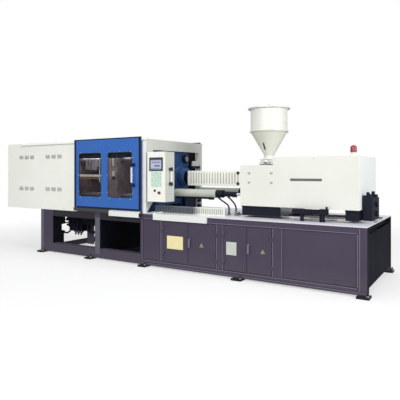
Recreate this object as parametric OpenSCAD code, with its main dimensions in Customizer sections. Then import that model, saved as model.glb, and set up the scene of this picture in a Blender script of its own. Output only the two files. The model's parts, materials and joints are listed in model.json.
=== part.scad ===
// Hydraulic injection moulding machine with a toggle clamp, operator side towards -Y.
// The origin is the centre of the base's footprint on the floor, +X towards the injection end.

/* [Base] */
// Length of the base
base_l = 4320; // [4100:10:4600]
// Width of the base
base_w = 1226; // [1160:2:1300]
// Height of the deck above the floor
deck_z = 620; // [600:5:680]
// Width of the left end post
end_post_w = 249; // [200:1:280]
// Width of the open bay under the clamp
left_bay_w = 791; // [740:1:820]
// Width of the middle post
mid_post_w = 89; // [70:1:110]
// Width of the drop bay under the mould space
drop_bay_w = 653; // [620:1:690]
// Thickness of the anchor pads
pad_t = 20; // [12:1:30]
// Height of the base's top rail
rail_h = 64; // [50:1:75]
// Height of the cabinet's bottom rail
skirt_h = 65; // [50:1:90]
// Wall of the sheet-metal panels
sheet = 3; // [2:0.5:4]

/* [Clamp] */
// Height of the machine's centreline above the deck
axis_rise = 410; // [400:5:440]
// Half the side of the square platens
platen_half = 340; // [335:1:360]
// Distance of the tie bars from the centreline, across and up
tie_pos = 240; // [238:1:250]
// Radius of the tie bars
tie_r = 35; // [28:1:37]
// Thickness of the fixed platen
fixed_t = 220; // [180:5:240]
// Thickness of the moving platen
moving_t = 150; // [120:5:160]
// Thickness of the tail platen
tail_t = 200; // [160:5:220]
// Distance between the moulding faces with the clamp closed
mould_gap = 445; // [400:5:460]
// Length of a toggle link between its pivots
link_l = 236; // [234:1:242]
// Height of the toggle pivots above the centreline
pivot_h = 285; // [282:1:290]
// Angle of the closed links
closed_deg = 4; // [3:0.5:5]
// Radius of the main toggle pins
pin_r = 25; // [20:1:26]
// Lever of the crosshead link on the rear link
cross_l = 120; // [116:1:122]
// Angle between the rear link and its lever
cross_deg = 12; // [10:1:14]
// Radius of the crosshead pins
cross_pin_r = 18; // [14:1:20]
// Radius of the clamp cylinder
clamp_cyl_r = 95; // [80:1:110]
// Length of the clamp cylinder
clamp_cyl_l = 480; // [460:5:540]
// Radius of the locating hole for the mould
locating_r = 62.5; // [50:0.5:65]
// Distance between the mould bolt holes
mould_bolt = 280; // [240:5:300]
// Radius of the mould bolt holes
mould_bolt_r = 8; // [6:0.5:10]

/* [Clamp covers] */
// Length of the cover behind the gate
clamp_cover_l = 1467; // [1440:1:1500]
// Width of the gate opening
gate_open_w = 1062; // [1030:1:1090]
// Height of the clamp cover's roof above the deck
cover_rise = 884; // [860:1:920]
// Length of the portal cover along the machine
portal_t = 84; // [70:1:90]
// Height of a gate
gate_h = 862; // [840:1:870]
// Thickness of a gate
gate_t = 33; // [30:1:36]
// Width of a gate window
window_w = 376; // [340:1:390]
// Height of a gate window
window_h = 534; // [480:1:560]
// Travel of a gate
gate_travel = 1050; // [900:10:1060]

/* [Injection] */
// Gap between the portal cover and the barrel guard
guard_gap = 235; // [200:1:260]
// Length of the barrel guard
guard_l = 875; // [860:1:900]
// Half width of the barrel guard
guard_half = 92; // [91:0.5:100]
// Length of the injection cover
inj_l = 1227; // [1200:1:1240]
// Width of the injection cover
inj_w = 778; // [760:1:800]
// Height of the injection cover's lower edge above the deck
inj_rise = 121; // [116:1:130]
// Height of the injection cover's high roof above the deck
inj_top = 633; // [620:1:660]
// Drop of the low roof at the hopper
inj_step = 81; // [60:1:90]
// Radius of the barrel
barrel_r = 65; // [55:1:66]
// Radius of the screw
screw_r = 21; // [18:0.5:25]
// Travel of the screw
shot_l = 160; // [120:5:165]
// Forward travel of the carriage
carriage_fwd = 45; // [30:5:50]
// Radius of the pull-in cylinders
pull_r = 47.5; // [40:0.5:50]

/* [Hopper] */
// Radius of the hopper's cylinder
hopper_r = 206; // [180:1:220]
// Height of the hopper's cylinder
hopper_h = 260; // [220:5:300]
// Height of the hopper's cone
cone_h = 262; // [240:2:300]
// Radius of the lid
lid_r = 235; // [224:1:245]

/* [Control box] */
// Width of the control box
box_w = 256; // [240:1:280]
// Depth of the control box
box_d = 175; // [160:1:190]
// Height of the control box
box_h = 570; // [550:5:600]

/* [Hidden] */
$fn = 48;

// Clearances
run = 0.05;
loose = 0.5;
slip = 0.3;
e = 1;

// Stations along the base
x_left = -base_l / 2;
x_right = base_l / 2;
half_w = base_w / 2;
x_bay = x_left + end_post_w;
x_mid = x_bay + left_bay_w;
x_drop = x_mid + mid_post_w;
x_cab = x_drop + drop_bay_w;
z_axis = deck_z + axis_rise;
deck_t = 8;
z_rail = deck_z - deck_t - rail_h;
z_skirt = pad_t + skirt_h;
z_sill = deck_z - 32;
beam_in = 190;
beam_out = 290;
beam_h = 120;
strip_h = 20;
post_d = 40;

// Stations of the clamp
x_portal = x_cab + portal_t;
fixed_inset = 46;
x_fix1 = x_portal - fixed_inset;
x_fix0 = x_fix1 - fixed_t;
x_mov1 = x_fix0 - mould_gap;
x_mov0 = x_mov1 - moving_t;
locating_l = 40;
ear_reach = 80;
x_b = x_mov0 - ear_reach;
x_a = x_b - 2 * link_l * cos(closed_deg);
z_a = z_axis + pivot_h;
x_tail1 = x_a - ear_reach - 5;
x_tail0 = x_tail1 - tail_t;
boss_r = pin_r + 20;
waist = 60;
cross_rest = closed_deg + cross_deg;
x_c = x_a + 2 * cross_l * cos(cross_rest);
x_p = x_a + cross_l * cos(cross_rest);
z_p = z_a - cross_l * sin(cross_rest);
rod_r = 28;
pair = [-1, 1];

// Layers of the toggle links across the machine, from the centre outwards
y_cross0 = 66;
y_cross1 = 92;
y_in0 = 98;
y_in1 = 124;
y_rear0 = 126;
y_rear1 = 164;
y_out0 = 166;
y_out1 = 192;

// Stations of the covers and the gates
x_gate0 = x_cab - gate_open_w;
x_cover0 = x_gate0 - clamp_cover_l;
z_cover = deck_z + cover_rise;
z_gate0 = deck_z + 30;
z_gate1 = z_gate0 + gate_h;
gate_lap = 5;
portal_lap = 33;
gate_back = half_w + 9;
gate_front = gate_back + gate_t;
x_g0 = x_gate0 - gate_lap;
x_g1 = x_cab + portal_lap;
track_d = 27;
track_t = 12;
z_track = z_gate1 - 42;
sill_d = 27;
sill_h = 43;
z_window = z_gate0 + 147;
window_inset = 91;
mullion = 126;
track_over = 90;

// Stations of the injection unit
x_guard0 = x_portal + guard_gap;
x_inj0 = x_guard0 + guard_l;
x_inj1 = x_inj0 + inj_l;
z_inj0 = deck_z + inj_rise;
z_inj1 = deck_z + inj_top;
z_low = z_inj1 - inj_step;
inj_half = inj_w / 2;
feed_x = x_inj0 + 164;
feed_half = 110;
z_feed = z_low + 13;
step_x = x_inj0 + 374;
rail_t = 20;
plate_t = 26;
pull_y = 283;
z_pull = deck_z + 233;
z_slide_house = z_feed + 65;
z_cone = z_slide_house + 38;
z_barrel_top = z_cone + cone_h;
z_hopper = z_barrel_top + hopper_h;
neck_r = 55;
feed_r = 34;
inj_cyl_l = shot_l + 80;
inj_cyl_r = 52;
inj_cyl_y = barrel_r + inj_cyl_r + 5;
x_thrust = feed_x + feed_half + inj_cyl_l + 70;
thrust_t = 160;

// Control box
x_box = x_portal + 36;
y_box = -half_w - 20;
z_box = deck_z + 140;
z_box1 = z_box + box_h;

// Cabinet posts, each from its left edge to its right edge
cab_l = x_right - x_cab;
door_post = [x_cab + 0.1131 * cab_l, x_cab + 0.1131 * cab_l + 42];
mid_post = [x_cab + 0.4015 * cab_l, x_cab + 0.4015 * cab_l + 98];
right_post = [x_cab + 0.65 * cab_l, x_cab + 0.65 * cab_l + 116];
corner_w = 94;

module block(x0, x1, y0, y1, z0, z1) {
    translate([x0, y0, z0]) cube([x1 - x0, y1 - y0, z1 - z0]);
}

// A block on the front side and its mirror image on the rear side
module both_sides(x0, x1, y0, y1, z0, z1) {
    for (s = pair) {
        block(x0, x1, min(s * y0, s * y1), max(s * y0, s * y1), z0, z1);
    }
}

module bar_x(r, x0, x1, y, z) {
    translate([x0, y, z]) rotate([0, 90, 0]) cylinder(r = r, h = x1 - x0);
}

module bar_y(r, y0, y1, x, z) {
    translate([x, y0, z]) rotate([-90, 0, 0]) cylinder(r = r, h = y1 - y0);
}

module bar_z(r, z0, z1, x, y) {
    translate([x, y, z0]) cylinder(r = r, h = z1 - z0);
}

module mirror_y() {
    children();
    mirror([0, 1, 0]) children();
}

// The lower half of the toggle is the upper half turned over at the centreline
module lower() {
    translate([0, 0, 2 * z_axis]) mirror([0, 0, 1]) children();
}

// A rounded slab across Y, used for windows
module round_slab(x0, x1, y0, y1, z0, z1, r) {
    block(x0 + r, x1 - r, y0, y1, z0, z1);
    block(x0, x1, y0, y1, z0 + r, z1 - r);
    for (x = [x0 + r, x1 - r], z = [z0 + r, z1 - r]) {
        bar_y(r, y0, y1, x, z);
    }
}

// Welded base: rails, posts, clamp beams and the cabinet's floor
module base_frame() {
    rail_in = half_w - 80;
    color([0.27, 0.24, 0.30]) {
        both_sides(x_left, x_cab, rail_in, half_w, pad_t, pad_t + 120);
        both_sides(x_cab, x_right, rail_in, half_w, pad_t, z_skirt);
        both_sides(x_left, x_gate0, rail_in, half_w, z_rail - 10, z_sill);
        both_sides(x_gate0, x_cab, rail_in, half_w, z_rail - 10, deck_z);
        both_sides(x_cab, x_right, rail_in, half_w, z_rail, deck_z - deck_t);
        both_sides(x_left, x_bay, half_w - 150, half_w, pad_t, z_sill);
        both_sides(x_mid, x_drop, rail_in, half_w, pad_t, z_rail);
        for (z = [pad_t, z_rail - 60]) {
            block(x_left, x_left + 100, -rail_in - e, rail_in + e, z, z + 60);
        }
        // clamp beams with their slide strips, and the cross beams under them
        both_sides(x_left, x_cab, beam_in, beam_out, deck_z - beam_h, deck_z);
        both_sides(x_cab - e, x_cab + 40, beam_in, beam_out, deck_z - beam_h, deck_z - deck_t);
        both_sides(x_left, x_fix0 - 4, beam_in + 10, beam_out - 20, deck_z - e, deck_z + strip_h);
        for (x = [x_left, x_mid, x_cab - 8]) {
            block(x, x + mid_post_w, -rail_in - e, rail_in + e, deck_z - beam_h, z_rail - 4);
        }
        // bulkhead that closes the drop bay towards the clamp, and the bay's floor
        block(x_drop - 8, x_drop, -rail_in - e, rail_in + e, pad_t + 40, z_rail);
        block(x_drop - e, x_cab + e, -rail_in - e, rail_in + e, pad_t + 40, pad_t + 48);
        // bulkhead, floor, ceiling beams and posts of the cabinet
        block(x_cab, x_cab + 8, -rail_in - e, rail_in + e, pad_t + 40, deck_z - deck_t);
        block(x_cab, x_right, -rail_in - e, rail_in + e, z_skirt - 8, z_skirt);
        for (x = [mid_post[0], right_post[0], x_right - corner_w]) {
            block(x, x + 60, -rail_in - e, rail_in + e, z_rail, deck_z - deck_t);
        }
        for (p = [[x_cab, x_cab + 40], door_post, mid_post, right_post]) {
            both_sides(p[0], p[1], half_w - post_d, half_w, z_skirt - e, z_rail + e);
        }
        both_sides(x_right - corner_w, x_right, half_w - corner_w, half_w, z_skirt - e, z_rail + e);
        // hinge pins of the doors
        for (d = doors) {
            hinge_pins(d);
        }
    }
}

// Doors: [hinge edge, free edge, side the leaf runs to]
leaf_gap = 2;
z_door0 = z_skirt + leaf_gap;
z_door1 = z_rail - leaf_gap;
door_t = 18;
door_inset = 1;
pair_a = (door_post[1] + mid_post[0]) / 2;
pair_b = (mid_post[1] + right_post[0]) / 2;
doors = [[door_post[1], pair_a - 1, 1], [mid_post[0], pair_a + 1, -1],
    [mid_post[1], pair_b - 1, 1], [right_post[0], pair_b + 1, -1]];
knuckle_r = 5.5;
knuckle_h = 40;
knuckle_z = [90, 370];
hinge_out = 5;

function hinge_x(d) = d[0] + 4 * d[2];

module hinge_pins(d) {
    x = hinge_x(d);
    y = -half_w - hinge_out;
    for (k = knuckle_z) {
        z = z_door0 + k;
        bar_z(knuckle_r, z - knuckle_h, z - slip, x, y);
        bar_z(3, z - slip - e, z + knuckle_h - 4, x, y);
        block(min(x, d[0] - 14 * d[2]), max(x, d[0] - 14 * d[2]), y - 2, -half_w, z - knuckle_h + 4, z - 4);
    }
}

// One door leaf: a folded sheet pan with two hinge knuckles
module door_leaf(i) {
    d = doors[i];
    s = d[2];
    x = hinge_x(d);
    y = -half_w - hinge_out;
    xe = d[0] + leaf_gap * s;
    x0 = min(xe, d[1]);
    x1 = max(xe, d[1]);
    y0 = -half_w + door_inset;
    color([0.30, 0.26, 0.33]) difference() {
        union() {
            difference() {
                block(x0, x1, y0, y0 + door_t, z_door0, z_door1);
                block(x0 + sheet, x1 - sheet, y0 + sheet, y0 + door_t + e, z_door0 + sheet, z_door1 - sheet);
            }
            for (k = knuckle_z) {
                z = z_door0 + k;
                bar_z(knuckle_r, z, z + knuckle_h, x, y);
                block(min(x, x + 24 * s), max(x, x + 24 * s), y - 2, y0 + e, z + 4, z + knuckle_h - 4);
            }
        }
        for (k = knuckle_z) {
            bar_z(3 + run, z_door0 + k - e, z_door0 + k + knuckle_h + e, x, y);
        }
        if (s < 0) {
            bar_y(6 + run, y0 - e, y0 + door_t + e, latch_x(i), latch_z);
        }
    }
}

latch_z = z_skirt + 280;
latch_drop = 86;

function latch_x(i) = doors[i][1] + 18;

// Quarter-turn latch on a right-hand leaf: lever, spindle and the short cam behind the sheet
module latch(i) {
    x = latch_x(i);
    y0 = -half_w + door_inset;
    color([0.78, 0.78, 0.76]) {
        bar_y(12, y0 - 12, y0 - slip, x, latch_z);
        bar_y(6, y0 - slip - e, y0 + sheet + 6, x, latch_z);
        block(x - 9, x + 9, y0 - 22, y0 - 10, latch_z - latch_drop, latch_z + 10);
        block(x - 8, x + 8, y0 + sheet + slip, y0 + sheet + 6, latch_z - 11, latch_z + 11);
    }
}

// Ten anchor pads with levelling screws; the four at the corners are bored for anchors
pad_l = 110;
pad_out = 50;
anchor_x = x_right - 30;
anchor_y = half_w + 25;
anchor_r = 11;
pad_xs = [-anchor_x, x_mid - 85, x_cab + 50, x_cab + 0.5043 * cab_l, anchor_x];

module anchor_feet() {
    color([0.16, 0.15, 0.18]) difference() {
        for (x = pad_xs) {
            both_sides(x - pad_l / 2, x + pad_l / 2, half_w - 60, half_w + pad_out, 0, pad_t);
            for (s = pair) {
                bar_z(9, pad_t - e, pad_t + 26, x + 38, s * anchor_y);
            }
        }
        for (x = [-anchor_x, anchor_x], s = pair) {
            bar_z(anchor_r, -e, pad_t + e, x, s * anchor_y);
        }
    }
}

module deck_plate() {
    color([0.84, 0.83, 0.87]) block(x_cab, x_right, -half_w, half_w, deck_z - deck_t, deck_z);
}

// A sheet pan that closes a bay, its front set back from the posts, with a raised field
module bay_panel(x0, x1, inset) {
    y0 = -half_w + 2;
    difference() {
        union() {
            block(x0, x1, y0, y0 + 15, z_skirt, z_rail);
            block(x0 + inset, x1 - inset, y0 - 2, y0 + e, z_skirt + inset, z_rail - inset);
        }
        block(x0 + sheet, x1 - sheet, y0 + sheet, y0 + 15 + e, z_skirt + sheet, z_rail - sheet);
    }
}

module front_panels() {
    color([0.30, 0.26, 0.33]) {
        bay_panel(x_cab + 40, door_post[0], 12);
        bay_panel(right_post[1], x_right - corner_w, 44);
    }
}

module rear_panels() {
    color([0.30, 0.26, 0.33]) mirror([0, 1, 0]) {
        bay_panel(x_cab + 40, door_post[0], 12);
        bay_panel(door_post[1], mid_post[0], 30);
        bay_panel(mid_post[1], right_post[0], 30);
        bay_panel(right_post[1], x_right - corner_w, 44);
    }
    color([0.10, 0.10, 0.12]) difference() {
        block(x_right - 15, x_right - 2, -half_w + corner_w, half_w - corner_w, z_skirt, z_rail);
        block(x_right - 16, x_right - 2 - sheet, -half_w + corner_w + sheet, half_w - corner_w - sheet,
            z_skirt + sheet, z_rail - sheet);
    }
}

// Electrical plate behind the doors: contactors, drives and terminal rows
module control_gear() {
    y = -half_w + 320;
    x0 = door_post[1] + 10;
    x1 = right_post[0] - 10;
    step = (x1 - x0) / 20;
    color([0.80, 0.80, 0.78]) {
        block(x0, x1, y, y + 6, z_skirt, z_rail - 20);
        for (i = [0:8], j = [0:1]) {
            x = x0 + (0.6 + i) * step;
            block(x, x + 0.76 * step, y - 70, y + e, z_skirt + 60 + j * 180, z_skirt + 150 + j * 180);
        }
        for (i = [0:2]) {
            x = x0 + (10.7 + i * 2.75) * step;
            block(x, x + 2.1 * step, y - 120, y + e, z_skirt + 70, z_skirt + 370);
        }
        block(x0 + 0.5 * step, x0 + 9.4 * step, y - 35, y + e, z_skirt + 12, z_skirt + 40);
    }
}

module oil_tank() {
    x0 = right_post[1] + 30;
    x1 = x_right - corner_w - 30;
    y = half_w - 140;
    color([0.35, 0.33, 0.38]) {
        difference() {
            block(x0, x1, -y, y, z_skirt, z_rail - 60);
            block(x0 + 5, x1 - 5, -y + 5, y - 5, z_skirt + 5, z_rail - 65);
        }
        bar_z(30, z_rail - 60 - e, z_rail - 20, (x0 + x1) / 2, -y + 60);
    }
}

// Foot-mounted motor with its ribbed shell, bell housing and vane pump
motor_x = x_cab + 0.453 * cab_l;
motor_y = half_w - 280;
motor_r = 130;

module pump_motor() {
    z = z_skirt + motor_r + 20;
    color([0.32, 0.36, 0.42]) {
        bar_x(motor_r - 12, motor_x, motor_x + 380, motor_y, z);
        for (i = [0:8]) {
            bar_x(motor_r, motor_x + 40 + i * 36, motor_x + 50 + i * 36, motor_y, z);
        }
        bar_x(motor_r - 4, motor_x - 60, motor_x + e, motor_y, z);
        bar_x(90, motor_x + 380 - e, motor_x + 450, motor_y, z);
        bar_x(65, motor_x + 450 - e, motor_x + 560, motor_y, z);
        for (s = pair) {
            block(motor_x + 60, motor_x + 320, motor_y + s * 85 - 25, motor_y + s * 85 + 25, z_skirt, z - 60);
        }
    }
}

// Shell-and-tube cooler hung from the front clamp beam, with its pipes
cooler_y = -(beam_in + beam_out) / 2;
cooler_r = 62;

module oil_cooler() {
    x0 = x_mid - 560;
    x1 = x_mid - 60;
    z = deck_z - beam_h - 20 - cooler_r;
    color([0.07, 0.07, 0.08]) {
        bar_x(cooler_r, x0, x1, cooler_y, z);
        for (x = [x0 - 14, x1 - 6]) {
            bar_x(cooler_r + 16, x, x + 20, cooler_y, z);
        }
        for (x = [x0 + 90, x1 - 130]) {
            block(x, x + 40, cooler_y - 40, cooler_y + 40, z, deck_z - beam_h);
        }
        bar_z(17, z - 150, z, x0 + 45, cooler_y);
        bar_x(17, x0 + 45, x1 - 60, cooler_y, z - 150);
        bar_z(17, z - 150, z, x1 - 60, cooler_y);
        bar_z(24, z - 110, z - 70, x0 + 45, cooler_y);
    }
}

// Louvres of the clamp cover: four groups of three patches on each side
louvre_w = 85;
louvre_pitch = 119;
louvre_x = [x_cover0 + 273, x_cover0 + 845];
louvre_z = [deck_z + 217, deck_z + 660];

module louvre_cuts() {
    for (x = louvre_x, z = louvre_z, i = [0:2], j = [0:3]) {
        for (s = pair) {
            block(x + i * louvre_pitch, x + i * louvre_pitch + louvre_w, s * half_w - 6, s * half_w + 6,
                z + j * 13, z + j * 13 + 6);
        }
    }
}

// Sheet cover over the toggle, open below and towards the mould space
module clamp_cover() {
    color([0.93, 0.92, 0.87]) {
        difference() {
            block(x_cover0, x_gate0, -half_w, half_w, z_sill, z_cover);
            block(x_cover0 + sheet, x_gate0 + e, -half_w + sheet, half_w - sheet, z_sill - e, z_cover - sheet);
            louvre_cuts();
        }
        // the closing plate of the end that overhangs the base
        block(x_cover0 + sheet, x_left - 2, -half_w + sheet, half_w - sheet, z_sill, z_sill + sheet);
        // folded edge round the mouth
        both_sides(x_gate0 - 30, x_gate0, half_w - 40, half_w - sheet, deck_z + strip_h + 4, z_cover - sheet);
    }
}

// White portal round the fixed platen, with the wide bracket side that carries the control box
post_near = 130;
post_foot = 25;
post_far = 48;

module portal_opening(x0, x1) {
    z0 = deck_z + e;
    z1 = z_cover - 142;
    translate([x0, 0, 0]) rotate([90, 0, 90]) linear_extrude(x1 - x0)
        polygon([[-half_w + post_foot, z0 - 2 * e], [half_w - post_far, z0 - 2 * e],
            [half_w - post_far, z1], [-half_w + post_near, z1], [-half_w + post_near, deck_z + 125],
            [-half_w + post_foot, deck_z + 15]]);
}

module portal_cover() {
    z1 = z_cover - 14;
    color([0.93, 0.92, 0.88]) {
        difference() {
            block(x_cab, x_portal, -half_w, half_w, deck_z, z1);
            block(x_cab - e, x_portal - sheet, -half_w + sheet, half_w - sheet, deck_z - e, z1 - sheet);
            portal_opening(x_portal - 10, x_portal + e);
        }
        both_sides(x_cab, x_cab + sheet, half_w - 40, half_w - sheet, deck_z, z1 - sheet);
    }
}

// Top tracks on both sides of the clamp, and the sills with their guide grooves
module gate_rails() {
    color([0.90, 0.89, 0.85]) {
        both_sides(x_g0 - gate_travel - track_over, x_portal - 4, half_w, half_w + track_d, z_track,
            z_track + track_t);
    }
    color([0.20, 0.20, 0.24]) for (s = pair) {
        difference() {
            both_side_sill(s);
            y = s * (half_w + 17);
            block(x_gate0 - 60, x_cab + 40, y - 4, y + 4, z_gate0 - 22, z_gate0 + e);
        }
    }
}

module both_side_sill(s) {
    y0 = min(s * half_w, s * (half_w + sill_d));
    block(x_gate0 - 41, x_cab + 33, y0, y0 + sill_d, z_gate0 - 7 - sill_h, z_gate0 - 7);
}

// Outline of a platen: a square with chamfered corners
module platen_blank(x0, x1) {
    a = platen_half;
    c = 40;
    translate([x0, 0, z_axis]) rotate([90, 0, 90]) linear_extrude(x1 - x0)
        polygon([[-a, -a + c], [-a + c, -a], [a - c, -a], [a, -a + c], [a, a - c], [a - c, a], [-a + c, a],
            [-a, a - c]]);
}

module tie_holes(x0, x1, r) {
    for (s = pair, t = pair) {
        bar_x(r, x0, x1, s * tie_pos, z_axis + t * tie_pos);
    }
}

module mould_holes(x0, x1) {
    for (s = pair, t = pair) {
        bar_x(mould_bolt_r, x0, x1, s * mould_bolt / 2, z_axis + t * mould_bolt / 2);
    }
}

// Fixed platen: nozzle pocket from behind, locating hole in the moulding face
pocket_depth = 120;

module fixed_platen() {
    color([0.14, 0.30, 0.58]) difference() {
        union() {
            platen_blank(x_fix0, x_fix1);
            both_sides(x_fix0, x_fix1, beam_in - 20, beam_out + 20, deck_z, z_axis - platen_half + e);
        }
        tie_holes(x_fix0 - e, x_fix1 + e, tie_r + run);
        mould_holes(x_fix0 - e, x_fix0 + 40);
        bar_x(locating_r, x_fix0 - e, x_fix0 + locating_l, 0, z_axis);
        bar_x(locating_r + 3, x_fix0 + locating_l, x_fix1 - pocket_depth + e, 0, z_axis);
        translate([x_fix1 - pocket_depth, 0, z_axis]) rotate([0, 90, 0])
            cylinder(r1 = locating_r + 8, r2 = 150, h = pocket_depth + 0.01);
    }
}

tie_nut_t = 48;
tie_nut_r = 58;
x_tie0 = x_tail0 - 250;
x_tie1 = x_fix1 + tie_nut_t;

module tie_bars() {
    color([0.72, 0.73, 0.75]) tie_holes(x_tie0, x_tie1, tie_r);
}

// Hexagon nuts outside the fixed platen and the round die-height nuts behind the tail platen
module tie_bar_nuts() {
    color([0.20, 0.20, 0.22]) difference() {
        for (s = pair, t = pair) {
            translate([x_fix1, s * tie_pos, z_axis + t * tie_pos]) rotate([0, 90, 0])
                cylinder(r = tie_nut_r, h = tie_nut_t - 8, $fn = 6);
        }
        tie_holes(x_fix1 - e, x_tie1 + e, tie_r + run);
    }
}

// Ears of the tail platen: two per side around each rear link
module tail_ears() {
    for (s = pair) {
        for (y = [[y_in0 - 2, y_in1], [y_out0, y_out1 + 2]]) {
            y0 = min(s * y[0], s * y[1]);
            y1 = max(s * y[0], s * y[1]);
            bar_y(boss_r + 3, y0, y1, x_a, z_a);
            block(x_tail1 - e, x_a, y0, y1, z_a - boss_r - 3, z_a + boss_r + 3);
        }
        ya = min(s * (y_in1 - e), s * (y_out0 + e));
        bar_y(pin_r, ya, ya + y_out0 - y_in1 + 2 * e, x_a, z_a);
    }
}

safety_y = -300;
safety_z = z_axis + 20;
safety_a = 30;
die_nut_r = 60;

module tail_platen() {
    color([0.50, 0.47, 0.50]) difference() {
        union() {
            platen_blank(x_tail0, x_tail1);
            tail_ears();
            lower() tail_ears();
            both_sides(x_tail0, x_tail1, beam_in, beam_out, deck_z + strip_h + slip, z_axis - platen_half + e);
            tie_holes(x_tail0 - 62, x_tail0 + e, die_nut_r);
        }
        tie_holes(x_tail0 - 70, x_tail1 + e, tie_r + run);
        bar_x(60, x_tail0 - e, x_tail1 + e, 0, z_axis);
        bar_x(safety_a - 4, x_tail0 - e, x_tail1 + e, safety_y, safety_z);
    }
}

module clamp_cylinder() {
    x0 = x_tail0 - clamp_cyl_l;
    color([0.86, 0.85, 0.80]) difference() {
        union() {
            bar_x(clamp_cyl_r, x0, x_tail0, 0, z_axis);
            bar_x(clamp_cyl_r + 24, x_tail0 - 34, x_tail0, 0, z_axis);
            bar_x(clamp_cyl_r + 14, x0, x0 + 40, 0, z_axis);
            block(x0 + 60, x0 + 160, -40, 40, z_axis + clamp_cyl_r - 12, z_axis + clamp_cyl_r + 50);
        }
        bar_x(rod_r + run, x0 + 60, x_tail0 + e, 0, z_axis);
    }
}

// A link plate between two eyes, lying along +X from the first eye
module link_plate(y0, y1) {
    bar_y(boss_r, y0, y1, 0, 0);
    bar_y(boss_r, y0, y1, link_l, 0);
    block(0, link_l, y0, y1, -waist / 2, waist / 2);
}

x_k = x_a + link_l * cos(closed_deg);
z_k = z_a - link_l * sin(closed_deg);
lever_boss = cross_pin_r + 14;

// Rear link: bored at the tail platen, with the knee pin and the lever pin standing out of it
module rear_link() {
    x = cross_l * cos(cross_deg);
    z = -cross_l * sin(cross_deg);
    mirror_y() translate([x_a, 0, z_a]) rotate([0, closed_deg, 0]) difference() {
        union() {
            link_plate(y_rear0, y_rear1);
            bar_y(lever_boss, y_rear0, y_rear1, x, z);
            bar_y(pin_r, y_in0, y_rear0 + e, link_l, 0);
            bar_y(pin_r, y_rear1 - e, y_out1, link_l, 0);
            bar_y(cross_pin_r, y_cross0 - 2, y_rear0 + e, x, z);
        }
        bar_y(pin_r + run, y_rear0 - e, y_rear1 + e, 0, 0);
    }
}

module rear_link_upper() {
    color([0.50, 0.47, 0.50]) rear_link();
}

module rear_link_lower() {
    color([0.50, 0.47, 0.50]) lower() rear_link();
}

// Front link: two plates on each side of the knee, joined by a web near the platen
module front_link(play) {
    mirror_y() translate([x_k, 0, z_k]) rotate([0, -closed_deg, 0]) difference() {
        union() {
            link_plate(y_in0, y_in1);
            link_plate(y_out0, y_out1);
            block(link_l - 101, link_l - 71, y_in1 - e, y_out0 + e, -25, 25);
        }
        bar_y(pin_r + run, y_in0 - e, y_out1 + e, 0, 0);
        bar_y(pin_r + play, y_in0 - e, y_out1 + e, link_l, 0);
    }
}

module front_link_upper() {
    color([0.44, 0.41, 0.45]) front_link(run);
}

module front_link_lower() {
    color([0.44, 0.41, 0.45]) lower() front_link(loose);
}

// Crosshead link on each side, between the lever pin and the crosshead
module cross_link(play) {
    r = cross_pin_r + 10;
    mirror_y() translate([x_p, 0, z_p]) rotate([0, -cross_rest, 0]) difference() {
        union() {
            bar_y(r, y_cross0, y_cross1, 0, 0);
            bar_y(r, y_cross0, y_cross1, cross_l, 0);
            block(0, cross_l, y_cross0, y_cross1, -18, 18);
        }
        bar_y(cross_pin_r + run, y_cross0 - e, y_cross1 + e, 0, 0);
        bar_y(cross_pin_r + play, y_cross0 - e, y_cross1 + e, cross_l, 0);
    }
}

module cross_link_upper() {
    color([0.62, 0.60, 0.60]) cross_link(run);
}

module cross_link_lower() {
    color([0.62, 0.60, 0.60]) lower() cross_link(loose);
}

// Crosshead: a tall web on the piston rod, with a pin for each crosshead link
module crosshead() {
    color([0.55, 0.53, 0.55]) {
        block(x_c - 24, x_c + 24, -58, 58, z_axis - pivot_h, z_axis + pivot_h);
        block(x_c - 38, x_c + 38, -58, 58, z_axis - 70, z_axis + 70);
        for (z = [z_a, 2 * z_axis - z_a]) {
            bar_y(27, -58, 58, x_c, z);
            bar_y(cross_pin_r, -y_cross1, y_cross1, x_c, z);
        }
        bar_x(rod_r, x_tail0 - 120, x_c, 0, z_axis);
    }
}

eject_r = 20;
eject_travel = 100;
eject_house = 120;

module platen_ears() {
    mirror_y() {
        bar_y(boss_r, y_rear0, y_rear1, x_b, z_a);
        block(x_b, x_mov0 + e, y_rear0, y_rear1, z_a - boss_r, z_a + boss_r);
        bar_y(pin_r, y_in0, y_out1, x_b, z_a);
    }
}

// Moving platen with its guide bushes, toggle ears, slide shoes and ejector housing
module moving_platen() {
    color([0.58, 0.54, 0.57]) difference() {
        union() {
            platen_blank(x_mov0, x_mov1);
            tie_holes(x_mov0 - 50, x_mov0 + e, tie_r + 11);
            platen_ears();
            lower() platen_ears();
            both_sides(x_mov0 - 40, x_mov1, beam_in, beam_out, deck_z + strip_h + slip,
                z_axis - platen_half + e);
            bar_x(45, x_mov0 - eject_house, x_mov0 + e, 0, z_axis);
        }
        tie_holes(x_mov0 - 60, x_mov1 + e, tie_r + run);
        mould_holes(x_mov1 - 40, x_mov1 + e);
        bar_x(eject_r + run, x_mov0 - eject_house + 12, x_mov1 + e, 0, z_axis);
    }
}

module ejector_rod() {
    x0 = x_mov0 - eject_house + 12 + eject_travel * 0.1;
    color([0.75, 0.75, 0.77]) bar_x(eject_r, x0, x_mov1 - 2, 0, z_axis);
}

// Notched safety bar from the moving platen back through the tail platen
module safety_bar() {
    a = safety_a / 2;
    color([0.90, 0.86, 0.70]) difference() {
        block(x_tail0 + 60, x_mov0, safety_y - a, safety_y + a, safety_z - a, safety_z + a);
        for (i = [0:9]) {
            block(x_tail0 + 90 + i * 40, x_tail0 + 102 + i * 40, safety_y - a - e, safety_y + a + e,
                safety_z + a - 6, safety_z + a + e);
        }
    }
}

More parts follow.
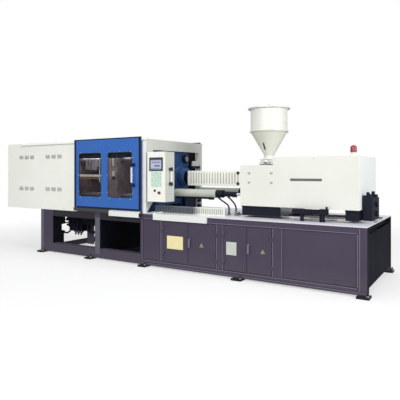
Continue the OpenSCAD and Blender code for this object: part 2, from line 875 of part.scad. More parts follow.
// Gate: an open-backed sheet pan with two windows, slide shoes on the track and a guide tongue
module gate_pan() {
    wx = [x_g0 + window_inset, x_g0 + window_inset + window_w + mullion];
    difference() {
        block(x_g0, x_g1, -gate_front, -gate_back, z_gate0, z_gate1);
        block(x_g0 + sheet, x_g1 - sheet, -gate_front + sheet, -gate_back + e,
            z_gate0 + sheet, z_gate1 - sheet);
        for (x = wx) {
            round_slab(x, x + window_w, -gate_front - e, -gate_front + sheet + e,
                z_window, z_window + window_h, 24);
        }
        block(x_g0 - e, x_g1 + e, -half_w - track_d - 3, -gate_back + e, z_track - 6, z_track + track_t + 26);
    }
    // channel that closes the pan round the slot of the track
    block(x_g0, x_g1, -gate_front + sheet - e, -half_w - track_d - 3, z_track - 6, z_track - 3);
    for (x = [x_g0 + 40, x_g1 - 140]) {
        block(x, x + 100, -gate_front + sheet - e, -half_w - 12,
            z_track + track_t + slip, z_track + track_t + 25);
    }
    for (x = [x_g1 - 84, x_g1 - 40]) {
        block(x, x + 34, -half_w - 20, -half_w - 14, z_gate0 - 20, z_gate0 + e);
    }
}

module gate_panes() {
    wx = [x_g0 + window_inset, x_g0 + window_inset + window_w + mullion];
    for (x = wx) {
        block(x - 20, x + window_w + 20, -gate_front + sheet, -gate_front + sheet + 5, z_window - 20,
            z_window + window_h + 20);
    }
}

handle_x = x_g1 - 95;
handle_z = [z_gate0 + 280, z_gate0 + 550];
handle_out = 45;

module gate_handle() {
    z0 = handle_z[0];
    z1 = handle_z[1];
    y = -gate_front - handle_out;
    bar_z(11, z0, z1, handle_x, y);
    for (z = [z0 + 14, z1 - 14]) {
        bar_y(9, y + 2, -gate_front, handle_x, z);
        bar_y(19, -gate_front - 6, -gate_front, handle_x, z);
    }
}

module front_gate() {
    color([0.16, 0.40, 0.78]) gate_pan();
}

module front_gate_windows() {
    color([0.80, 0.85, 0.88, 0.3]) gate_panes();
}

module front_gate_handle() {
    color([0.80, 0.84, 0.92]) gate_handle();
}

module rear_gate() {
    mirror([0, 1, 0]) {
        color([0.16, 0.40, 0.78]) gate_pan();
        color([0.80, 0.84, 0.92]) gate_handle();
        color([0.80, 0.85, 0.88, 0.3]) gate_panes();
    }
}

// Control box on two arms, with a grab handle on its right side
stop_x = x_box + 178;
stop_z = z_box + 104;
knob_x = x_box + 111;
knob_z = z_box + 127;

module control_box() {
    y1 = y_box + box_d;
    hx = x_box + box_w + 31;
    hy = y_box + 85;
    color([0.93, 0.92, 0.88]) {
        difference() {
            block(x_box, x_box + box_w, y_box, y1, z_box, z_box1);
            block(x_box + 4, x_box + box_w - 4, y_box + 30, y1 - 4, z_box + 4, z_box1 - 4);
            bar_y(6 + run, y_box - e, y_box + 31, stop_x, stop_z);
            bar_y(5 + run, y_box - e, y_box + 31, knob_x, knob_z);
        }
        for (z = [z_box + 50, z_box1 - 100]) {
            block(x_portal, x_box + e, y_box + 60, y_box + 120, z, z + 50);
        }
        bar_z(10, z_box + 186, z_box + 388, hx, hy);
        for (z = [z_box + 204, z_box + 370]) {
            bar_x(8, x_box + box_w - e, hx - 2, hy, z);
        }
    }
}

module display() {
    x0 = x_box + 34;
    z0 = z_box + 352;
    color([0.10, 0.16, 0.32]) difference() {
        block(x0, x0 + 190, y_box - 8, y_box, z0, z0 + 153);
        block(x0 + 18, x0 + 172, y_box - 9, y_box - 5, z0 + 18, z0 + 135);
    }
}

module keypad() {
    x0 = x_box + 57;
    z0 = z_box + 172;
    color([0.78, 0.88, 0.80]) {
        block(x0, x0 + 154, y_box - 3, y_box, z0, z0 + 172);
        for (i = [0:5], j = [0:6]) {
            x = x0 + 9 + i * 23.5;
            z = z0 + 9 + j * 22.8;
            block(x, x + 18, y_box - 4.5, y_box - 2, z, z + 16);
        }
    }
}

stop_travel = 5;

module emergency_stop() {
    color([0.70, 0.12, 0.10]) {
        bar_y(16, y_box - 22, y_box - stop_travel - 3, stop_x, stop_z);
        bar_y(6, y_box - 9, y_box + 24, stop_x, stop_z);
    }
}

module selector_knob() {
    color([0.08, 0.08, 0.09]) {
        bar_y(13, y_box - 8, y_box - slip, knob_x, knob_z);
        block(knob_x - 3.5, knob_x + 3.5, y_box - 19, y_box - 7, knob_z - 12, knob_z + 12);
        bar_y(5, y_box - e, y_box + 24, knob_x, knob_z);
    }
}

// Drip tray: a shallow sheet on the deck that folds down over its front edge
tray_x0 = x_cab + 209;
tray_x1 = x_cab + 917;
tray_out = 32;

module drip_tray() {
    color([0.95, 0.95, 0.94]) {
        block(tray_x0, tray_x1, -half_w - tray_out, -half_w + 150, deck_z, deck_z + sheet);
        block(tray_x0, tray_x1, -half_w - tray_out, -half_w - tray_out + sheet, deck_z - 66, deck_z + sheet);
        for (x = [tray_x0, tray_x1 - sheet]) {
            block(x, x + sheet, -half_w - tray_out, -half_w - e, deck_z - 66, deck_z + sheet);
            block(x, x + sheet, -half_w - tray_out, -half_w + 150, deck_z, deck_z + 14);
        }
    }
}

// Fence of upright slots behind the tray
fence_x0 = x_portal + 10;
fence_x1 = tray_x1 + 124;
fence_y = -half_w + 163;
fence_h = 86;
fence_pitch = 24;

module slotted_guard() {
    n = floor((fence_x1 - fence_x0 - 30) / fence_pitch);
    color([0.92, 0.92, 0.90]) difference() {
        union() {
            block(fence_x0, fence_x1, fence_y, fence_y + sheet, deck_z, deck_z + fence_h);
            block(fence_x0, fence_x1, fence_y, fence_y + 30, deck_z, deck_z + sheet);
        }
        for (i = [0:n - 1]) {
            x = fence_x0 + 20 + i * fence_pitch;
            block(x, x + 11, fence_y - e, fence_y + sheet + e, deck_z + 14, deck_z + fence_h - 12);
        }
    }
}

// White lip under the gate where the mouldings leave
lip_x0 = x_drop + 203;
lip_x1 = x_cab + 22;
lip_out = 34;

module product_lip() {
    y = -half_w - sill_d;
    z1 = z_gate0 - 12;
    color([0.95, 0.95, 0.94]) translate([lip_x0, y, 0]) rotate([90, 0, 90]) linear_extrude(lip_x1 - lip_x0)
        polygon([[0, z1 - 12], [0, z1], [-8, z1], [-lip_out, z1 - 14], [-lip_out, z1 - 70], [0, z1 - 70],
            [0, z1 - 67], [-lip_out + sheet, z1 - 67], [-lip_out + sheet, z1 - 22]]);
}

module carriage_rails() {
    color([0.62, 0.62, 0.64]) both_sides(x_inj0 - 130, x_right - 20, 180, 240, deck_z, deck_z + rail_t);
}

// Pull-in cylinders: a tie to the fixed platen, the cream barrel with its pipe, the gland,
// the rod's tube and two ports that slant towards the hoses
x_pull0 = x_guard0 - 38;
pull_l = 564;
gland_l = 88;
gland_r = pull_r - 5;
tube_l = 249;
tube_r = 27;
pull_rod_r = 14;
pipe_z = z_pull - pull_r - 8;
port_x = [x_pull0 + pull_l + 12, x_pull0 + pull_l + 133];
port_z = [z_pull - 30, z_pull - 15];
port_l = 36;

module pull_in_cylinders() {
    x1 = x_pull0 + pull_l;
    color([0.90, 0.89, 0.84]) mirror_y() difference() {
        union() {
            bar_x(15, x_fix1, x_pull0 + e, -pull_y, z_pull);
            bar_x(pull_r, x_pull0, x1, -pull_y, z_pull);
            bar_x(gland_r, x1 - e, x1 + gland_l, -pull_y, z_pull);
            bar_x(tube_r, x1 + gland_l - e, x1 + tube_l, -pull_y, z_pull);
            bar_x(9, x_pull0 + 28, x1 - 70, -pull_y, pipe_z);
            block(x_pull0 + 10, x_pull0 + 50, -pull_y - 14, -pull_y + 14, pipe_z - 12, z_pull - pull_r + 8);
            block(x1 - 100, x1 - 44, -pull_y - 16, -pull_y + 16, pipe_z - 14, z_pull - pull_r + 8);
            for (i = [0, 1]) {
                translate([port_x[i], -pull_y, port_z[i]]) rotate([0, 135, 0]) cylinder(r = 12, h = port_l);
            }
        }
        bar_x(pull_rod_r + run, x_pull0 + 40, x1 + tube_l + e, -pull_y, z_pull);
    }
}

// Hoses from the cylinders' ports down to fittings on the deck
hose_r = 9;
hose_start = [for (i = [0, 1]) [port_x[i] + port_l * sin(135), -pull_y, port_z[i] + port_l * cos(135)]];
hose_end_z = deck_z + 72;
hose_foot = [x_pull0 + pull_l + 155, x_pull0 + pull_l + tube_l - 6];

// Points of a hose: it leaves its port on a slant and bends round to stand on its fitting
function hose_end(i) = [hose_foot[i], -pull_y, hose_end_z];
function hose_point(i, t) = pow(1 - t, 3) * hose_start[i]
    + 3 * t * pow(1 - t, 2) * (hose_start[i] + [sin(135), 0, cos(135)] * 45)
    + 3 * t * t * (1 - t) * (hose_end(i) + [0, 0, 55]) + pow(t, 3) * hose_end(i);
function unit(v) = v / norm(v);
hose_rings = 24;
hose_sides = 10;

module hose(i) {
    p = [for (k = [0:hose_rings]) hose_point(i, k / hose_rings)];
    t = [for (k = [0:hose_rings]) k == 0 ? [sin(135), 0, cos(135)]
        : k == hose_rings ? [0, 0, -1] : unit(p[k + 1] - p[k - 1])];
    pts = [for (k = [0:hose_rings], j = [0:hose_sides - 1])
        let (v = [0, 1, 0], u = unit(cross(v, t[k])), w = cross(t[k], u), a = 360 * j / hose_sides)
        p[k] + hose_r * (cos(a) * u + sin(a) * w)];
    side = [for (k = [0:hose_rings - 1], j = [0:hose_sides - 1])
        let (m = (j + 1) % hose_sides)
        [k * hose_sides + j, (k + 1) * hose_sides + j, (k + 1) * hose_sides + m, k * hose_sides + m]];
    last = hose_rings * hose_sides;
    polyhedron(points = pts, faces = concat(side, [[for (j = [0:hose_sides - 1]) j]],
        [[for (j = [0:hose_sides - 1]) last + hose_sides - 1 - j]]));
}

module hydraulic_hoses() {
    color([0.05, 0.05, 0.06]) mirror_y() {
        for (i = [0, 1]) {
            hose(i);
            bar_z(13, deck_z, hose_end_z, hose_foot[i], -pull_y);
            bar_z(18, deck_z, deck_z + 22, hose_foot[i], -pull_y);
        }
        bar_x(11, hose_foot[1], hose_foot[1] + 48, -pull_y, deck_z + 34);
    }
}

// Black bar on two legs in front of the injection cover, with the carriage's limit switches
switch_x = x_inj0 + 597;
switch_y = -inj_half - 34;

module switch_rail() {
    z = deck_z + 88;
    color([0.05, 0.05, 0.06]) {
        bar_x(15, switch_x, switch_x + 352, switch_y, z);
        bar_x(21, switch_x, switch_x + 70, switch_y, z);
        bar_x(21, switch_x + 300, switch_x + 330, switch_y, z);
        for (x = [switch_x + 97, switch_x + 307]) {
            bar_z(12, deck_z, z, x, switch_y);
            bar_z(20, deck_z, deck_z + 8, x, switch_y);
        }
        bar_z(10, z, z + 28, switch_x + 338, switch_y);
    }
}

// Carriage: slide blocks on the rails, the plate, the feed casting, the pull rods and the valve block
front_block = [x_inj0 + 15, x_inj0 + 454];
rear_block = [x_inj0 + 1099, x_inj1 - 5];
block_half = inj_half - 14;
valve_x = x_inj1 + 7;

module carriage_base() {
    z0 = deck_z + rail_t + slip;
    color([0.16, 0.16, 0.20]) {
        difference() {
            union() {
                for (b = [front_block, rear_block]) {
                    block(b[0], b[1], -block_half, block_half, z0, z_inj0 - 14 + e);
                    block(b[0], b[1], -inj_half, inj_half, z_inj0 - 14, z_inj0);
                }
                block(front_block[0], rear_block[1], -300, 300, z_inj0 - e, z_inj0 + plate_t);
                block(feed_x - feed_half, feed_x + feed_half, -180, 180, z_inj0 + plate_t - e, z_axis + 90);
                block(feed_x - 80, feed_x + 80, -80, 80, z_axis, z_feed);
            }
            bar_x(barrel_r + run, feed_x - feed_half - e, feed_x + feed_half + e, 0, z_axis);
            bar_z(feed_r, z_axis, z_feed + e, feed_x, 0);
        }
        mirror_y() difference() {
            bar_x(inj_cyl_r, feed_x + feed_half - e, feed_x + feed_half + inj_cyl_l, inj_cyl_y, z_axis);
            bar_x(22 + run, feed_x + feed_half + 20, feed_x + feed_half + inj_cyl_l + e, inj_cyl_y, z_axis);
        }
        mirror_y() {
            bar_x(pull_rod_r, x_pull0 + 170, front_block[0] + e, -pull_y, z_pull);
            block(front_block[0] - e, front_block[0] + 30, -pull_y - 40, -pull_y + 40,
                z_inj0 - 30, z_pull + 40);
        }
        // valve block behind the cover, on a tongue of the plate, with two upright ports
        block(rear_block[1] - e, valve_x + e, -250, 20, z_inj0 - 40, z_inj0 - 14);
        block(valve_x, valve_x + 88, -283, 47, z0, z_inj0 + 110);
        for (y = [-255, -15]) {
            bar_z(16, z_inj0 + 110 - e, z_inj0 + 168, valve_x + 44, y);
            block(valve_x + 6, valve_x + 82, y - 26, y + 34, z_inj0 + 108, z_inj0 + 138);
        }
        for (z = [z0 + 60, z0 + 150]) {
            bar_x(26, valve_x + 87, valve_x + 110, -118, z);
        }
    }
}

nozzle_back = 15;

// Barrel with a flanged end cap and the nozzle, bored for the screw
module barrel() {
    x_cap = x_guard0 - 140;
    x_tip = x_fix0 + nozzle_back + carriage_fwd;
    color([0.30, 0.30, 0.32]) difference() {
        union() {
            bar_x(barrel_r, x_cap, feed_x + feed_half, 0, z_axis);
            bar_x(barrel_r + 14, x_cap - 40, x_cap + e, 0, z_axis);
            bar_x(34, x_cap - 110, x_cap - 39, 0, z_axis);
            translate([x_tip, 0, z_axis]) rotate([0, 90, 0])
                cylinder(r1 = 12, r2 = 30, h = x_cap - 109 - x_tip);
        }
        bar_x(screw_r + 2 * run, x_cap + 10, feed_x + feed_half + e, 0, z_axis);
        bar_x(3, x_tip - e, x_cap + 11, 0, z_axis);
        bar_z(feed_r, z_axis, z_axis + barrel_r + e, feed_x, 0);
    }
}

band_w = 110;
band_n = 6;
band_r = barrel_r + 14;

module heater_bands() {
    x0 = x_guard0 + 14;
    pitch = (x_inj0 - 40 - x0) / band_n;
    color([0.60, 0.56, 0.50]) for (i = [0:band_n - 1]) {
        x = x0 + i * pitch;
        difference() {
            union() {
                bar_x(band_r, x, x + band_w, 0, z_axis);
                block(x + 35, x + 75, -12, 12, z_axis - band_r - 8, z_axis - band_r + 6);
            }
            bar_x(barrel_r, x - e, x + band_w + e, 0, z_axis);
        }
    }
}

slot_pitch = 38;
slot_w = 13;

// Barrel guard: a folded sheet, open below, with upright slots down both sides
module barrel_guard() {
    z0 = z_axis - 95;
    z1 = z_axis + 85;
    n = floor((guard_l - 70) / slot_pitch);
    color([0.92, 0.92, 0.88]) difference() {
        block(x_guard0, x_inj0, -guard_half, guard_half, z0, z1);
        block(x_guard0 + sheet, x_inj0 + e, -guard_half + sheet, guard_half - sheet, z0 - e, z1 - sheet);
        bar_x(barrel_r + 4, x_guard0 - e, x_guard0 + sheet + e, 0, z_axis);
        block(x_guard0 - e, x_guard0 + sheet + e, -barrel_r - 4, barrel_r + 4, z0 - e, z_axis);
        for (i = [0:n - 1], s = pair) {
            block(x_guard0 + 40 + i * slot_pitch, x_guard0 + 40 + slot_w + i * slot_pitch, s * guard_half - 5,
                s * guard_half + 5, z0 + 28, z1 - 24);
        }
    }
}

vent_x = [x_inj0 + 90, x_inj0 + 342];
vent_z = [z_axis - 54, z_axis + 44];

// Injection cover: sheet shell, open below, with a low roof round the feed casting
module injection_cover() {
    h = inj_half;
    color([0.93, 0.93, 0.88]) difference() {
        union() {
            block(x_inj0, x_inj1, -h, h, z_inj0, z_low);
            block(step_x, x_inj1, -h, h, z_inj0, z_inj1);
        }
        block(x_inj0 + sheet, x_inj1 - sheet, -h + sheet, h - sheet, z_inj0 - e, z_low - sheet);
        block(step_x + sheet, x_inj1 - sheet, -h + sheet, h - sheet, z_inj0 - e, z_inj1 - sheet);
        block(feed_x - 82, feed_x + 82, -82, 82, z_low - 5, z_low + e);
        bar_x(barrel_r + 6, x_inj0 - e, x_inj0 + sheet + e, 0, z_axis);
        for (s = pair) {
            block(x_inj0 - e, x_inj0 + sheet + e, s * pull_y - 44, s * pull_y + 44, z_inj0 - e, z_pull + 44);
        }
        block(x_inj0 + 558, x_inj0 + 880, -h - e, -h + sheet + e, z_axis - 21, z_axis + 5);
        block(x_inj0 + 558, x_inj0 + 880, h - sheet - e, h + e, z_axis - 21, z_axis + 5);
        for (x = vent_x, z = vent_z, k = [0:2], s = pair) {
            block(x + k * 10, x + k * 10 + 5, s * h - 5, s * h + 5, z, z + 22);
        }
    }
}

// Hopper: spun cylinder and cone with rolled beads, neck flange and the slide housing
hop_w = 2;
slide_z = z_feed + 30;
slide_t = 6;
slide_w = 96;

module hopper() {
    color([0.86, 0.87, 0.83]) translate([feed_x, 0, 0]) {
        rotate_extrude($fn = 64) polygon([[neck_r, z_cone], [hopper_r, z_barrel_top],
            [hopper_r + 8, z_barrel_top + 3], [hopper_r + 8, z_barrel_top + 9],
            [hopper_r, z_barrel_top + 12], [hopper_r, z_hopper - 14],
            [hopper_r + 9, z_hopper - 11], [hopper_r + 9, z_hopper], [hopper_r - hop_w, z_hopper],
            [hopper_r - hop_w, z_barrel_top + 1], [neck_r - hop_w, z_cone + 1], [neck_r - hop_w, z_slide_house],
            [neck_r, z_slide_house]]);
        difference() {
            union() {
                block(-75, 75, -75, 75, z_feed, z_slide_house - 12);
                block(-85, 85, -85, 85, z_slide_house - 12, z_slide_house);
                bar_z(neck_r + 7, z_slide_house - e, z_slide_house + 14, 0, 0);
                for (s = pair) {
                    bar_x(11, s * 75 - 22, s * 75 + 22, -40, z_feed + 14);
                }
            }
            bar_z(feed_r, z_feed - e, slide_z + 2 * e, 0, 0);
            bar_z(neck_r - hop_w, slide_z + slide_t - e, z_slide_house + 15, 0, 0);
            block(-slide_w / 2 - slip, slide_w / 2 + slip, -76, 60, slide_z - slip, slide_z + slide_t + slip);
        }
    }
}

module hopper_lid() {
    color([0.88, 0.89, 0.86]) translate([feed_x, 0, 0]) rotate_extrude($fn = 64)
        polygon([[0, z_hopper + 14], [lid_r - 14, z_hopper + 10], [lid_r, z_hopper + 8], [lid_r, z_hopper - 8],
            [lid_r - 2, z_hopper - 8], [lid_r - 2, z_hopper], [0, z_hopper]]);
}

module hopper_slide() {
    y0 = -75 - 44;
    color([0.70, 0.71, 0.72]) translate([feed_x, 0, 0]) {
        block(-slide_w / 2, slide_w / 2, y0, 58, slide_z, slide_z + slide_t);
        block(-slide_w / 2, slide_w / 2, y0, y0 + 4, slide_z - 12, slide_z + slide_t + 8);
        bar_y(10, y0 - 26, y0 + e, 0, slide_z + 2);
    }
}

// Thrust housing with the injection pistons' rods and the hydraulic motor behind it
module thrust_housing() {
    x0 = x_thrust;
    x1 = x_thrust + thrust_t;
    color([0.30, 0.33, 0.40]) {
        difference() {
            union() {
                block(x0, x1, -210, 210, z_axis - 95, z_axis + 95);
                bar_x(105, x1 - e, x1 + 190, 0, z_axis);
                bar_x(84, x1 + 190 - e, x1 + 240, 0, z_axis);
                block(x1 + 40, x1 + 140, -50, 50, z_axis + 80, z_axis + 130);
            }
            bar_x(screw_r + run, x0 - e, x1, 0, z_axis);
        }
        mirror_y() bar_x(22, feed_x + feed_half + 40, x0 + e, inj_cyl_y, z_axis);
        mirror_y() block(x0 + 20, x1 - 20, 150, 200, z_inj0 + plate_t + slip, z_axis - 90);
    }
}

module screw() {
    x0 = x_guard0 - 120;
    color([0.75, 0.75, 0.77]) {
        bar_x(screw_r, x0 + 40, x_thrust + thrust_t - 10, 0, z_axis);
        translate([x0, 0, z_axis]) rotate([0, 90, 0]) cylinder(r1 = 4, r2 = screw_r, h = 41);
        for (i = [0:3]) {
            bar_x(screw_r + 6, x_thrust - 60 + i * 8, x_thrust - 56 + i * 8, 0, z_axis);
        }
    }
}

beacon_x = x_inj1 - 85;
beacon_y = -239;
beacon_r = 30;

// Lamp: a stem with a flange and the domed red lens
module beacon() {
    color([0.62, 0.14, 0.13]) translate([beacon_x, beacon_y, z_inj1]) rotate_extrude()
        polygon(concat([[0, 0], [34, 0], [34, 6], [22, 8], [22, 34], [beacon_r, 38], [beacon_r, 84]],
            [for (a = [15:15:90]) [beacon_r * cos(a), 84 + 22 * sin(a)]]));
}

base_frame();
anchor_feet();
deck_plate();
front_panels();
rear_panels();
control_gear();
oil_tank();
pump_motor();
oil_cooler();
clamp_cover();
portal_cover();
gate_rails();
fixed_platen();
tie_bars();
tie_bar_nuts();
tail_platen();
clamp_cylinder();
control_box();
display();
keypad();
emergency_stop();
selector_knob();
drip_tray();
slotted_guard();
product_lip();
carriage_rails();
pull_in_cylinders();
hydraulic_hoses();
switch_rail();
rear_link_upper();
rear_link_lower();
front_link_upper();
front_link_lower();
cross_link_upper();
cross_link_lower();
crosshead();
moving_platen();
safety_bar();
ejector_rod();
front_gate();
front_gate_windows();
front_gate_handle();
rear_gate();
door_leaf(0);  // door_1
door_leaf(1);  // door_2
door_leaf(2);  // door_3
door_leaf(3);  // door_4
latch(1);  // latch_1
latch(3);  // latch_2
carriage_base();
barrel();
heater_bands();
barrel_guard();
injection_cover();
hopper();
hopper_lid();
hopper_slide();
thrust_housing();
screw();
beacon();
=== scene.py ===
# %% [markdown]
# # Injection moulding machine
# A machine that melts plastic granules and squeezes them into a mould. Seen from the
# operator's side, the clamp with its covers and the blue sliding gate is on the left, and
# the injection unit with the hopper is on the right. Both stand on one welded base.
# The solids come from the CAD model. Here they get their paint, their rounded edges and
# the small pieces that a solid model leaves out.

# %% Load the frame
import json
import math
import bmesh
import bpy
from mathutils import Matrix, Vector


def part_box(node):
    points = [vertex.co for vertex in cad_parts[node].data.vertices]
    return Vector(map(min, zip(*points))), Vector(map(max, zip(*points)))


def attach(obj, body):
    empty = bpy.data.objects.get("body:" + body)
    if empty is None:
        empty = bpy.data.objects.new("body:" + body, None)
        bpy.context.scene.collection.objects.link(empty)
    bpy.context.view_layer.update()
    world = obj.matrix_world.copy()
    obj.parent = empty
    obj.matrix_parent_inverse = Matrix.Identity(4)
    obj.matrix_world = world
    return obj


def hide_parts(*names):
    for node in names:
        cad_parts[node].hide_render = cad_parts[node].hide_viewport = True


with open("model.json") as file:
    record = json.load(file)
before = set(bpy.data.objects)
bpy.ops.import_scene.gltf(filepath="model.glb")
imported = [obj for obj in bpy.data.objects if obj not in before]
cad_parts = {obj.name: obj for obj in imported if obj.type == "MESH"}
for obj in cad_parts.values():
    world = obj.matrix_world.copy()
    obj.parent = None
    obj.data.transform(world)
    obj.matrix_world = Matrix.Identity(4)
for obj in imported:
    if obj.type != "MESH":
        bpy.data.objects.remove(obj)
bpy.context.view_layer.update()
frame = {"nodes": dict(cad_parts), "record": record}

NODES = frame["nodes"]
BODY_OF = {n: b for b, group in frame["record"]["behaviour"]["bodies"].items() for n in group}

# %% [markdown]
# ## Camera
# The photograph was taken from the front right, a little above the deck. The uprights stay
# parallel in it, so the lens looks level and the frame is shifted down. A tilted camera
# would make them lean. Its place, turn and lens were fitted to the machine's edges.

# %% Camera
IMAGE = 400        # width and height of the photograph, pixels
FOCAL = 441.66     # focal length, pixels
HORIZON = 171.96   # row of the horizon, pixels
SENSOR = 36        # width of the sensor, millimetres
EYE = Vector((2.976, -4.619, 1.100))
YAW = 0.563
camera = bpy.data.objects.new("camera", bpy.data.cameras.new("camera"))
bpy.context.scene.collection.objects.link(camera)
camera.location = EYE
camera.rotation_euler = (math.pi / 2, 0, YAW)
camera.data.sensor_width = SENSOR
camera.data.lens = SENSOR * FOCAL / IMAGE
camera.data.shift_y = (HORIZON - IMAGE / 2) / IMAGE
camera.data.clip_end = 60
bpy.context.scene.camera = camera
print("lens", round(camera.data.lens, 2), "shift", round(camera.data.shift_y, 4))

# %% [markdown]
# ## Shader maths
# A wire is one output of a shader tree. Adding, multiplying or comparing wires makes the
# Math nodes, so a recipe reads like a formula. All other nodes come from one call, which
# takes the node's settings and the values or wires of its sockets.

# %% Shader helpers
def colour(r, g, b):
    """A colour given as 0 to 255 on screen, in the linear values that shaders want."""
    def lin(v):
        v = v / 255
        return v / 12.92 if v <= 0.04045 else ((v + 0.055) / 1.055) ** 2.4
    return (lin(r), lin(g), lin(b), 1.0)


class Wire:
    """One output socket of a shader tree."""

    def __init__(self, recipe, socket):
        self.recipe = recipe
        self.socket = socket

    def math(self, operation, *values):
        return self.recipe.node("ShaderNodeMath", dict(enumerate(values)), operation=operation)

    def __add__(self, other):
        return self.math("ADD", self, other)

    def __radd__(self, other):
        return self.math("ADD", other, self)

    def __sub__(self, other):
        return self.math("SUBTRACT", self, other)

    def __rsub__(self, other):
        return self.math("SUBTRACT", other, self)

    def __mul__(self, other):
        return self.math("MULTIPLY", self, other)

    def __rmul__(self, other):
        return self.math("MULTIPLY", other, self)

    def __truediv__(self, other):
        return self.math("DIVIDE", self, other)

    def __rtruediv__(self, other):
        return self.math("DIVIDE", other, self)

    def __pow__(self, other):
        return self.math("POWER", self, other)

    def __rpow__(self, other):
        return self.math("POWER", other, self)

    def __gt__(self, other):
        return self.math("GREATER_THAN", self, other)

    def __lt__(self, other):
        return self.math("LESS_THAN", self, other)

    def ramp(self, low, high):
        """0 below low, 1 above high and smooth between."""
        return self.recipe.node("ShaderNodeMapRange", {"Value": self, "From Min": low, "From Max": high},
                                interpolation_type="SMOOTHSTEP")

    def dot(self, other):
        return self.recipe.node("ShaderNodeVectorMath", {0: self, 1: other}, "Value", operation="DOT_PRODUCT")

    def stretched(self, x, y, z):
        return self.recipe.node("ShaderNodeVectorMath", {0: self, 1: (x, y, z)}, operation="MULTIPLY")


class Recipe:
    """A shader tree, and the call that adds a node to it."""

    def __init__(self, tree):
        self.tree = tree

    def feed(self, socket, value):
        if isinstance(value, Wire):
            self.tree.links.new(value.socket, socket)
        else:
            socket.default_value = value

    def node(self, kind, sockets=None, output=0, **settings):
        """Makes a node, sets it up, then fills its sockets, which are named or counted from 0."""
        node = self.tree.nodes.new(kind)
        for key, value in settings.items():
            setattr(node, key, value)
        for key, value in (sockets or {}).items():
            self.feed(node.inputs[key], value)
        return Wire(self, node.outputs[output])


class Paint(Recipe):
    """A material with one Principled shader, and the patterns that its recipe is made of."""

    def __init__(self, name):
        self.material = bpy.data.materials.new(name)
        self.material.use_nodes = True
        super().__init__(self.material.node_tree)
        self.shader = self.tree.nodes["Principled BSDF"]
        self.surface = self.tree.nodes["Material Output"].inputs["Surface"]

    def place(self):
        """Where a point is, in metres, in the piece's own frame."""
        return self.node("ShaderNodeTexCoord", output="Object")

    def along(self, axis):
        """The point's distance along X, Y or Z."""
        return self.node("ShaderNodeSeparateXYZ", {"Vector": self.place()}, axis)

    def noise(self, scale, detail=3.0, rough=0.5, where=None):
        return self.node("ShaderNodeTexNoise", {"Vector": where or self.place(), "Scale": scale,
                                                "Detail": detail, "Roughness": rough})

    def mix(self, share, a, b):
        """Colour a where share is 0 and colour b where it is 1."""
        return self.node("ShaderNodeMix", {0: share, 6: a, 7: b}, 2, data_type="RGBA")

    def edges(self, radius):
        """1 on the piece's outer and inner edges, 0 on its flats."""
        soft = self.node("ShaderNodeBevel", {"Radius": radius}, samples=4)
        flat = self.node("ShaderNodeNewGeometry", output="Normal")
        return (1.0 - soft.dot(flat)).ramp(0.02, 0.25)

    def upward(self):
        """1 where the surface faces the sky."""
        return self.node("ShaderNodeNewGeometry", output="Normal").dot((0, 0, 1)).ramp(0.3, 0.95)

    def bump(self, height, depth):
        """A surface that rises with height, by at most depth in metres."""
        return self.node("ShaderNodeBump", {"Height": height, "Distance": depth, "Strength": 1.0})

    def set(self, **values):
        for key, value in values.items():
            self.feed(self.shader.inputs[key.replace("_", " ")], value)


# %% [markdown]
# ## Paints
# Sprayed enamel has a faint orange-peel surface, gathers a film of dust on top faces and
# shows thin rubbed edges. Castings are rougher, and ground bars carry fine turning lines.
# Each finish could be one flat colour, but real sheet is never that even. So each recipe
# lays a slow drift of tone, dust and wear over its colour with noise at several scales.
# A finish is made for each kind of surface, and a paint for each colour on the machine. Some creams are copies of
# one cream, painted lighter or darker as painted light and shade.

# %% Enamel, cast iron, steel and plastic
def enamel(name, body, dust, edge, rough=0.42, dirt=0.10, low_dirt=0.0, coat=0.15, shine=0.5):
    """Sprayed paint: a slow drift in tone, dust on top, rubbed edges and a fine peel."""
    p = Paint(name)
    drift = p.noise(1.7, 4.0, 0.6)
    smear = p.noise(9.0, 5.0, 0.65, p.place().stretched(1.0, 1.0, 0.35))
    fleck = p.noise(140.0, 2.0, 0.5)
    peel = p.noise(420.0, 2.0, 0.5)
    tone = p.mix(drift.ramp(0.3, 0.7) * 0.35, body, dust)
    top = p.upward() * (smear.ramp(0.30, 0.72) * 0.5 + 0.25) * dirt * 3.0
    side = smear.ramp(0.52, 0.80) * dirt
    tone = p.mix(top + side, tone, dust)
    if low_dirt:
        low = (1.0 - p.along("Z").ramp(0.02, 0.28)) * (smear * 0.7 + 0.3) * low_dirt
        tone = p.mix(low, tone, colour(118, 112, 108))
    tone = p.mix(p.edges(0.004) * (fleck.ramp(0.35, 0.65) * 0.5 + 0.5) * 0.35, tone, edge)
    p.set(Base_Color=tone, Roughness=smear * 0.16 + (rough - 0.08), Coat_Weight=coat, Coat_Roughness=0.25,
          Specular_IOR_Level=shine, Normal=p.bump(peel, 0.00012))
    return p.material


def casting(name, body, dark, edge, rough=0.55, shine=0.5):
    """Painted cast iron: pits, oil stains and bare edges."""
    p = Paint(name)
    stain = p.noise(6.0, 6.0, 0.68)
    pits = p.noise(90.0, 4.0, 0.6)
    tone = p.mix(stain.ramp(0.35, 0.70) * 0.75, body, dark)
    tone = p.mix(pits.ramp(0.55, 0.75) * 0.35, tone, dark)
    tone = p.mix(p.edges(0.005) * pits.ramp(0.3, 0.6) * 0.5, tone, edge)
    p.set(Base_Color=tone, Roughness=stain * 0.3 + (rough - 0.15), Specular_IOR_Level=shine,
          Normal=p.bump(pits * 0.7 + p.noise(300.0) * 0.3, 0.0006))
    return p.material


